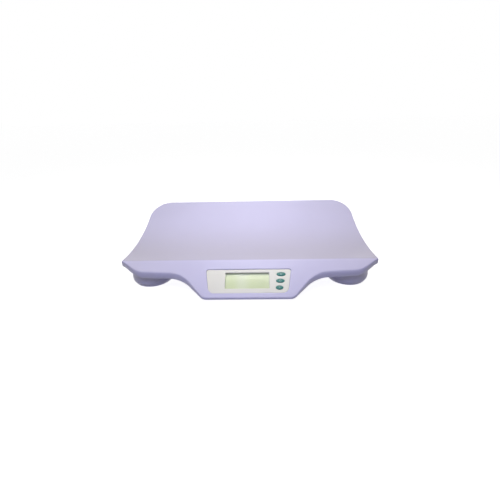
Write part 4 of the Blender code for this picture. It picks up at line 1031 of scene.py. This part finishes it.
def batteries():
    """Four turned cells, head to tail, with a nub, a rolled shoulder, a sleeve and a dimpled base."""
    radius, body, fold = BATTERY_RADIUS, BATTERY_LENGTH - BATTERY_NUB, SLEEVE_FOLD
    plate, lip = body - SHOULDER, radius - SLEEVE_LIP
    nub = [(0, BATTERY_LENGTH), (BATTERY_NUB_RADIUS, BATTERY_LENGTH), (BATTERY_NUB_RADIUS, plate), (lip, plate)]
    sleeve = [(lip, plate + fold), (radius - 1.2 * MM, body), (radius, body - 0.6 * MM), (radius, body - SLEEVE_BAND)]
    case = [(radius, 0.6 * MM), (radius - 0.6 * MM, 0), (radius - 1.4 * MM, fold), (lip, 2 * fold)]
    base = [(radius - 1.8 * MM, 2 * fold), (3 * MM, 2 * fold), (2.4 * MM, 4 * fold), (0, 4 * fold)]
    runs = [(eased(nub, 0.3 * MM), 0.0), (eased(sleeve, 0.25 * MM), 1.0), (case, 0.5), (base, 0.0)]
    kinds = np.concatenate([np.full(len(points), kind) for points, kind in runs])[:, None]
    across, around, along = np.moveaxis(turned(np.concatenate([points for points, _ in runs]), 64), -1, 0)
    for index in range(4):
        y = BATTERY_START[index % 2] + (BATTERY_LENGTH - along if index % 2 else along)
        grid = spread((index - 1.5) * BATTERY_PITCH + across, y, BATTERY_HEIGHT + around)
        closed_piece(f"cell_{index + 1}", SLEEVE, "battery_case", f"battery_{index + 1}", [grid], mark=kinds)


def door_grip():
    """Finger ridges on the door's latch: round bars half sunk in it, z = face - h cos t, tapered to both ends."""
    turns = np.linspace(-np.pi, np.pi, 16, endpoint=False)
    share = np.linspace(-1, 1, 25)[:, None]
    swell = RIDGE_RADIUS * np.sqrt(np.clip(1 - share**8, 0, 1))
    y, z = DOOR_BACK + swell * np.sin(turns), DOOR_FACE + RIDGE_LIFT - swell * np.cos(turns)
    bars = [spread(RIDGE_HALF * share, y - number * RIDGE_PITCH, z) for number in range(1, RIDGES + 1)]
    closed_piece("door_grip", LILAC_BASE, "lilac_plastic", "battery_door", bars, angle=60.0)


def gauge_patch(foot):
    """A blob of white sealant over the strain gauge: z = top + h (1 - s^2)^2 over an oval, closed inside the cell."""
    across, run = FEET[foot]
    share = np.append(np.linspace(0, 1, 12), 0)[:, None]
    rise = PATCH_HEIGHT * (1 - share**2) ** 2
    rise[-1] = -0.1 * MM
    cosines, sines = circle(40)
    grid = spread(PATCH_HALVES[0] * share * cosines, PATCH_HALVES[1] * share * sines, rise)
    grid = grid + (across, CREST_Y + run + PATCH_RUN, CELL_TOP)
    closed_piece(f"gauge_patch_{foot}", MAT, "mat_rubber", f"load_cell_{foot}", [grid])


tray_skin()
tray_underside()
for foot in FEET:
    foot_pieces(foot)
    softened(f"load_cell_{foot}", STEEL, 0.25 * MM)
    gauge_patch(foot)
places = [(across, CREST_Y + run, BASE_SCREW_BOTTOM) for across, run in BASE_SCREW_PLACES]
screws("tray_screw", "base_screw", BASE_SCREW, places, np.add)
places = [(*place, BOARD_SCREW_DEPTH) for place in BOARD_SCREW_PLACES]
screws("panel_screw", "board_screw", BOARD_SCREW, places, lambda grid, at: on_console(grid * (1, -1, -1) + at))
for key in KEYS:
    key_cap(key)
batteries()
door_grip()
softened("base_cover", LILAC_BASE, 0)
softened("battery_door", LILAC_BASE, 0.3 * MM)
panel_skin()
for node, material in SOFT_FINISHES.items():
    softened(node, material, 0.15 * MM)
for node, material in PLAIN_FINISHES.items():
    for slot in frame["nodes"][node].material_slots:
        slot.material = material


# Studio


def shows_backdrop(finish):
    """1 on rays that show what stands behind: from the camera, off a gloss, or through the lens."""
    rays = [finish.add("ShaderNodeLightPath", output=f"Is {kind} Ray") for kind in ("Camera", "Glossy", "Transmission")]
    return (rays[0] + rays[1] + rays[2]).clamped()


def stage_floor():
    """A wide pale floor, white where it is lit, that keeps the object's soft shadow.

    It is clear when seen from below, and lets the lamp under it shine up on the object's underside.
    """
    mesh = bpy.data.meshes.new("floor")
    half = 6.0
    corners = [(-half, -half, 0), (half, -half, 0), (half, half, 0), (-half, half, 0)]
    mesh.from_pydata(corners, [], [(0, 1, 2, 3)])
    finish = Finish("floor", roughness=0.9, base_color=(0.5, 0.5, 0.5), specular_ior_level=0.1)
    finish.set("Emission Color", (1.0, 1.0, 1.0))
    finish.set("Emission Strength", shows_backdrop(finish) * 0.9)
    from_below = finish.add("ShaderNodeNewGeometry", output="Backfacing")
    finish.set("Alpha", 1 - (from_below + finish.add("ShaderNodeLightPath", output="Is Shadow Ray")).clamped())
    mesh.materials.append(finish.material)
    floor = linked("floor", mesh)


def softbox(name, place, target, size, power, colour=(1, 1, 1)):
    """An area lamp that faces a target and isn't seen itself."""
    data = bpy.data.lights.new(name, "AREA")
    data.shape = "RECTANGLE"
    data.size, data.size_y = size
    data.energy = power
    data.color = colour
    lamp = linked(name, data)
    lamp.location = place
    lamp.rotation_euler = (Vector(target) - Vector(place)).to_track_quat("-Z", "Y").to_euler()
    lamp.visible_camera = False


def studio_world():
    """White where the backdrop shows; to all else a dim room, a little darker towards its floor."""
    world = bpy.data.worlds.new("studio")
    bpy.context.scene.world = world
    room = Finish("studio", world)
    height = room.parts(room.add("ShaderNodeTexCoord", output="Generated"))[2]
    tone = room.blend(height.step(-0.2, 0.8), (0.08, 0.08, 0.09), (0.13, 0.13, 0.13))
    room.set("Color", room.blend(shows_backdrop(room), tone, (1.0, 1.0, 1.0)))


def stand_camera():
    """The photograph's view: just left of the console's middle, above the front, a little rolled."""
    data = bpy.data.cameras.new("camera")
    data.lens = 21.6
    data.sensor_width = 36
    data.clip_start = 0.01
    camera = linked("camera", data)
    turns = ((1.79, "Z"), (90 - 26.43, "X"), (-1.5, "Z"))
    yaw, pitch, roll = (Matrix.Rotation(math.radians(angle), 4, axis) for angle, axis in turns)
    camera.matrix_world = Matrix.Translation((0.0214, -0.6586, 0.3639)) @ yaw @ pitch @ roll
    bpy.context.scene.camera = camera


stage_floor()
studio_world()
# Each lamp's name, place, target, size, watts and colour
softbox("overhead", (0, 0, 0.55), (0, 0, 0.05), (0.3, 0.3), 1.7, (0.96, 0.97, 0.94))
softbox("sky_window", (-0.12, -0.62, 0.95), (0, 0, 0.05), (0.5, 0.4), 3.8, (0.50, 0.54, 0.98))
softbox("back_window", (0, 1.0, 0.12), (0, 0, 0.07), (1.2, 0.12), 5)
softbox("lamp_left", (-0.6, -0.1, 0.9), (0, 0, 0.05), (0.5, 0.5), 1.6, (1.0, 0.93, 0.36))
softbox("lamp_right", (0.5, 0.05, 0.95), (0, 0, 0.05), (0.5, 0.5), 1.6, (1.0, 0.9, 0.55))
softbox("underside_window", (0, 0.45, -0.75), (0, 0, 0), (0.8, 0.5), 4)
stand_camera()
bpy.context.scene.view_settings.view_transform = "Standard"
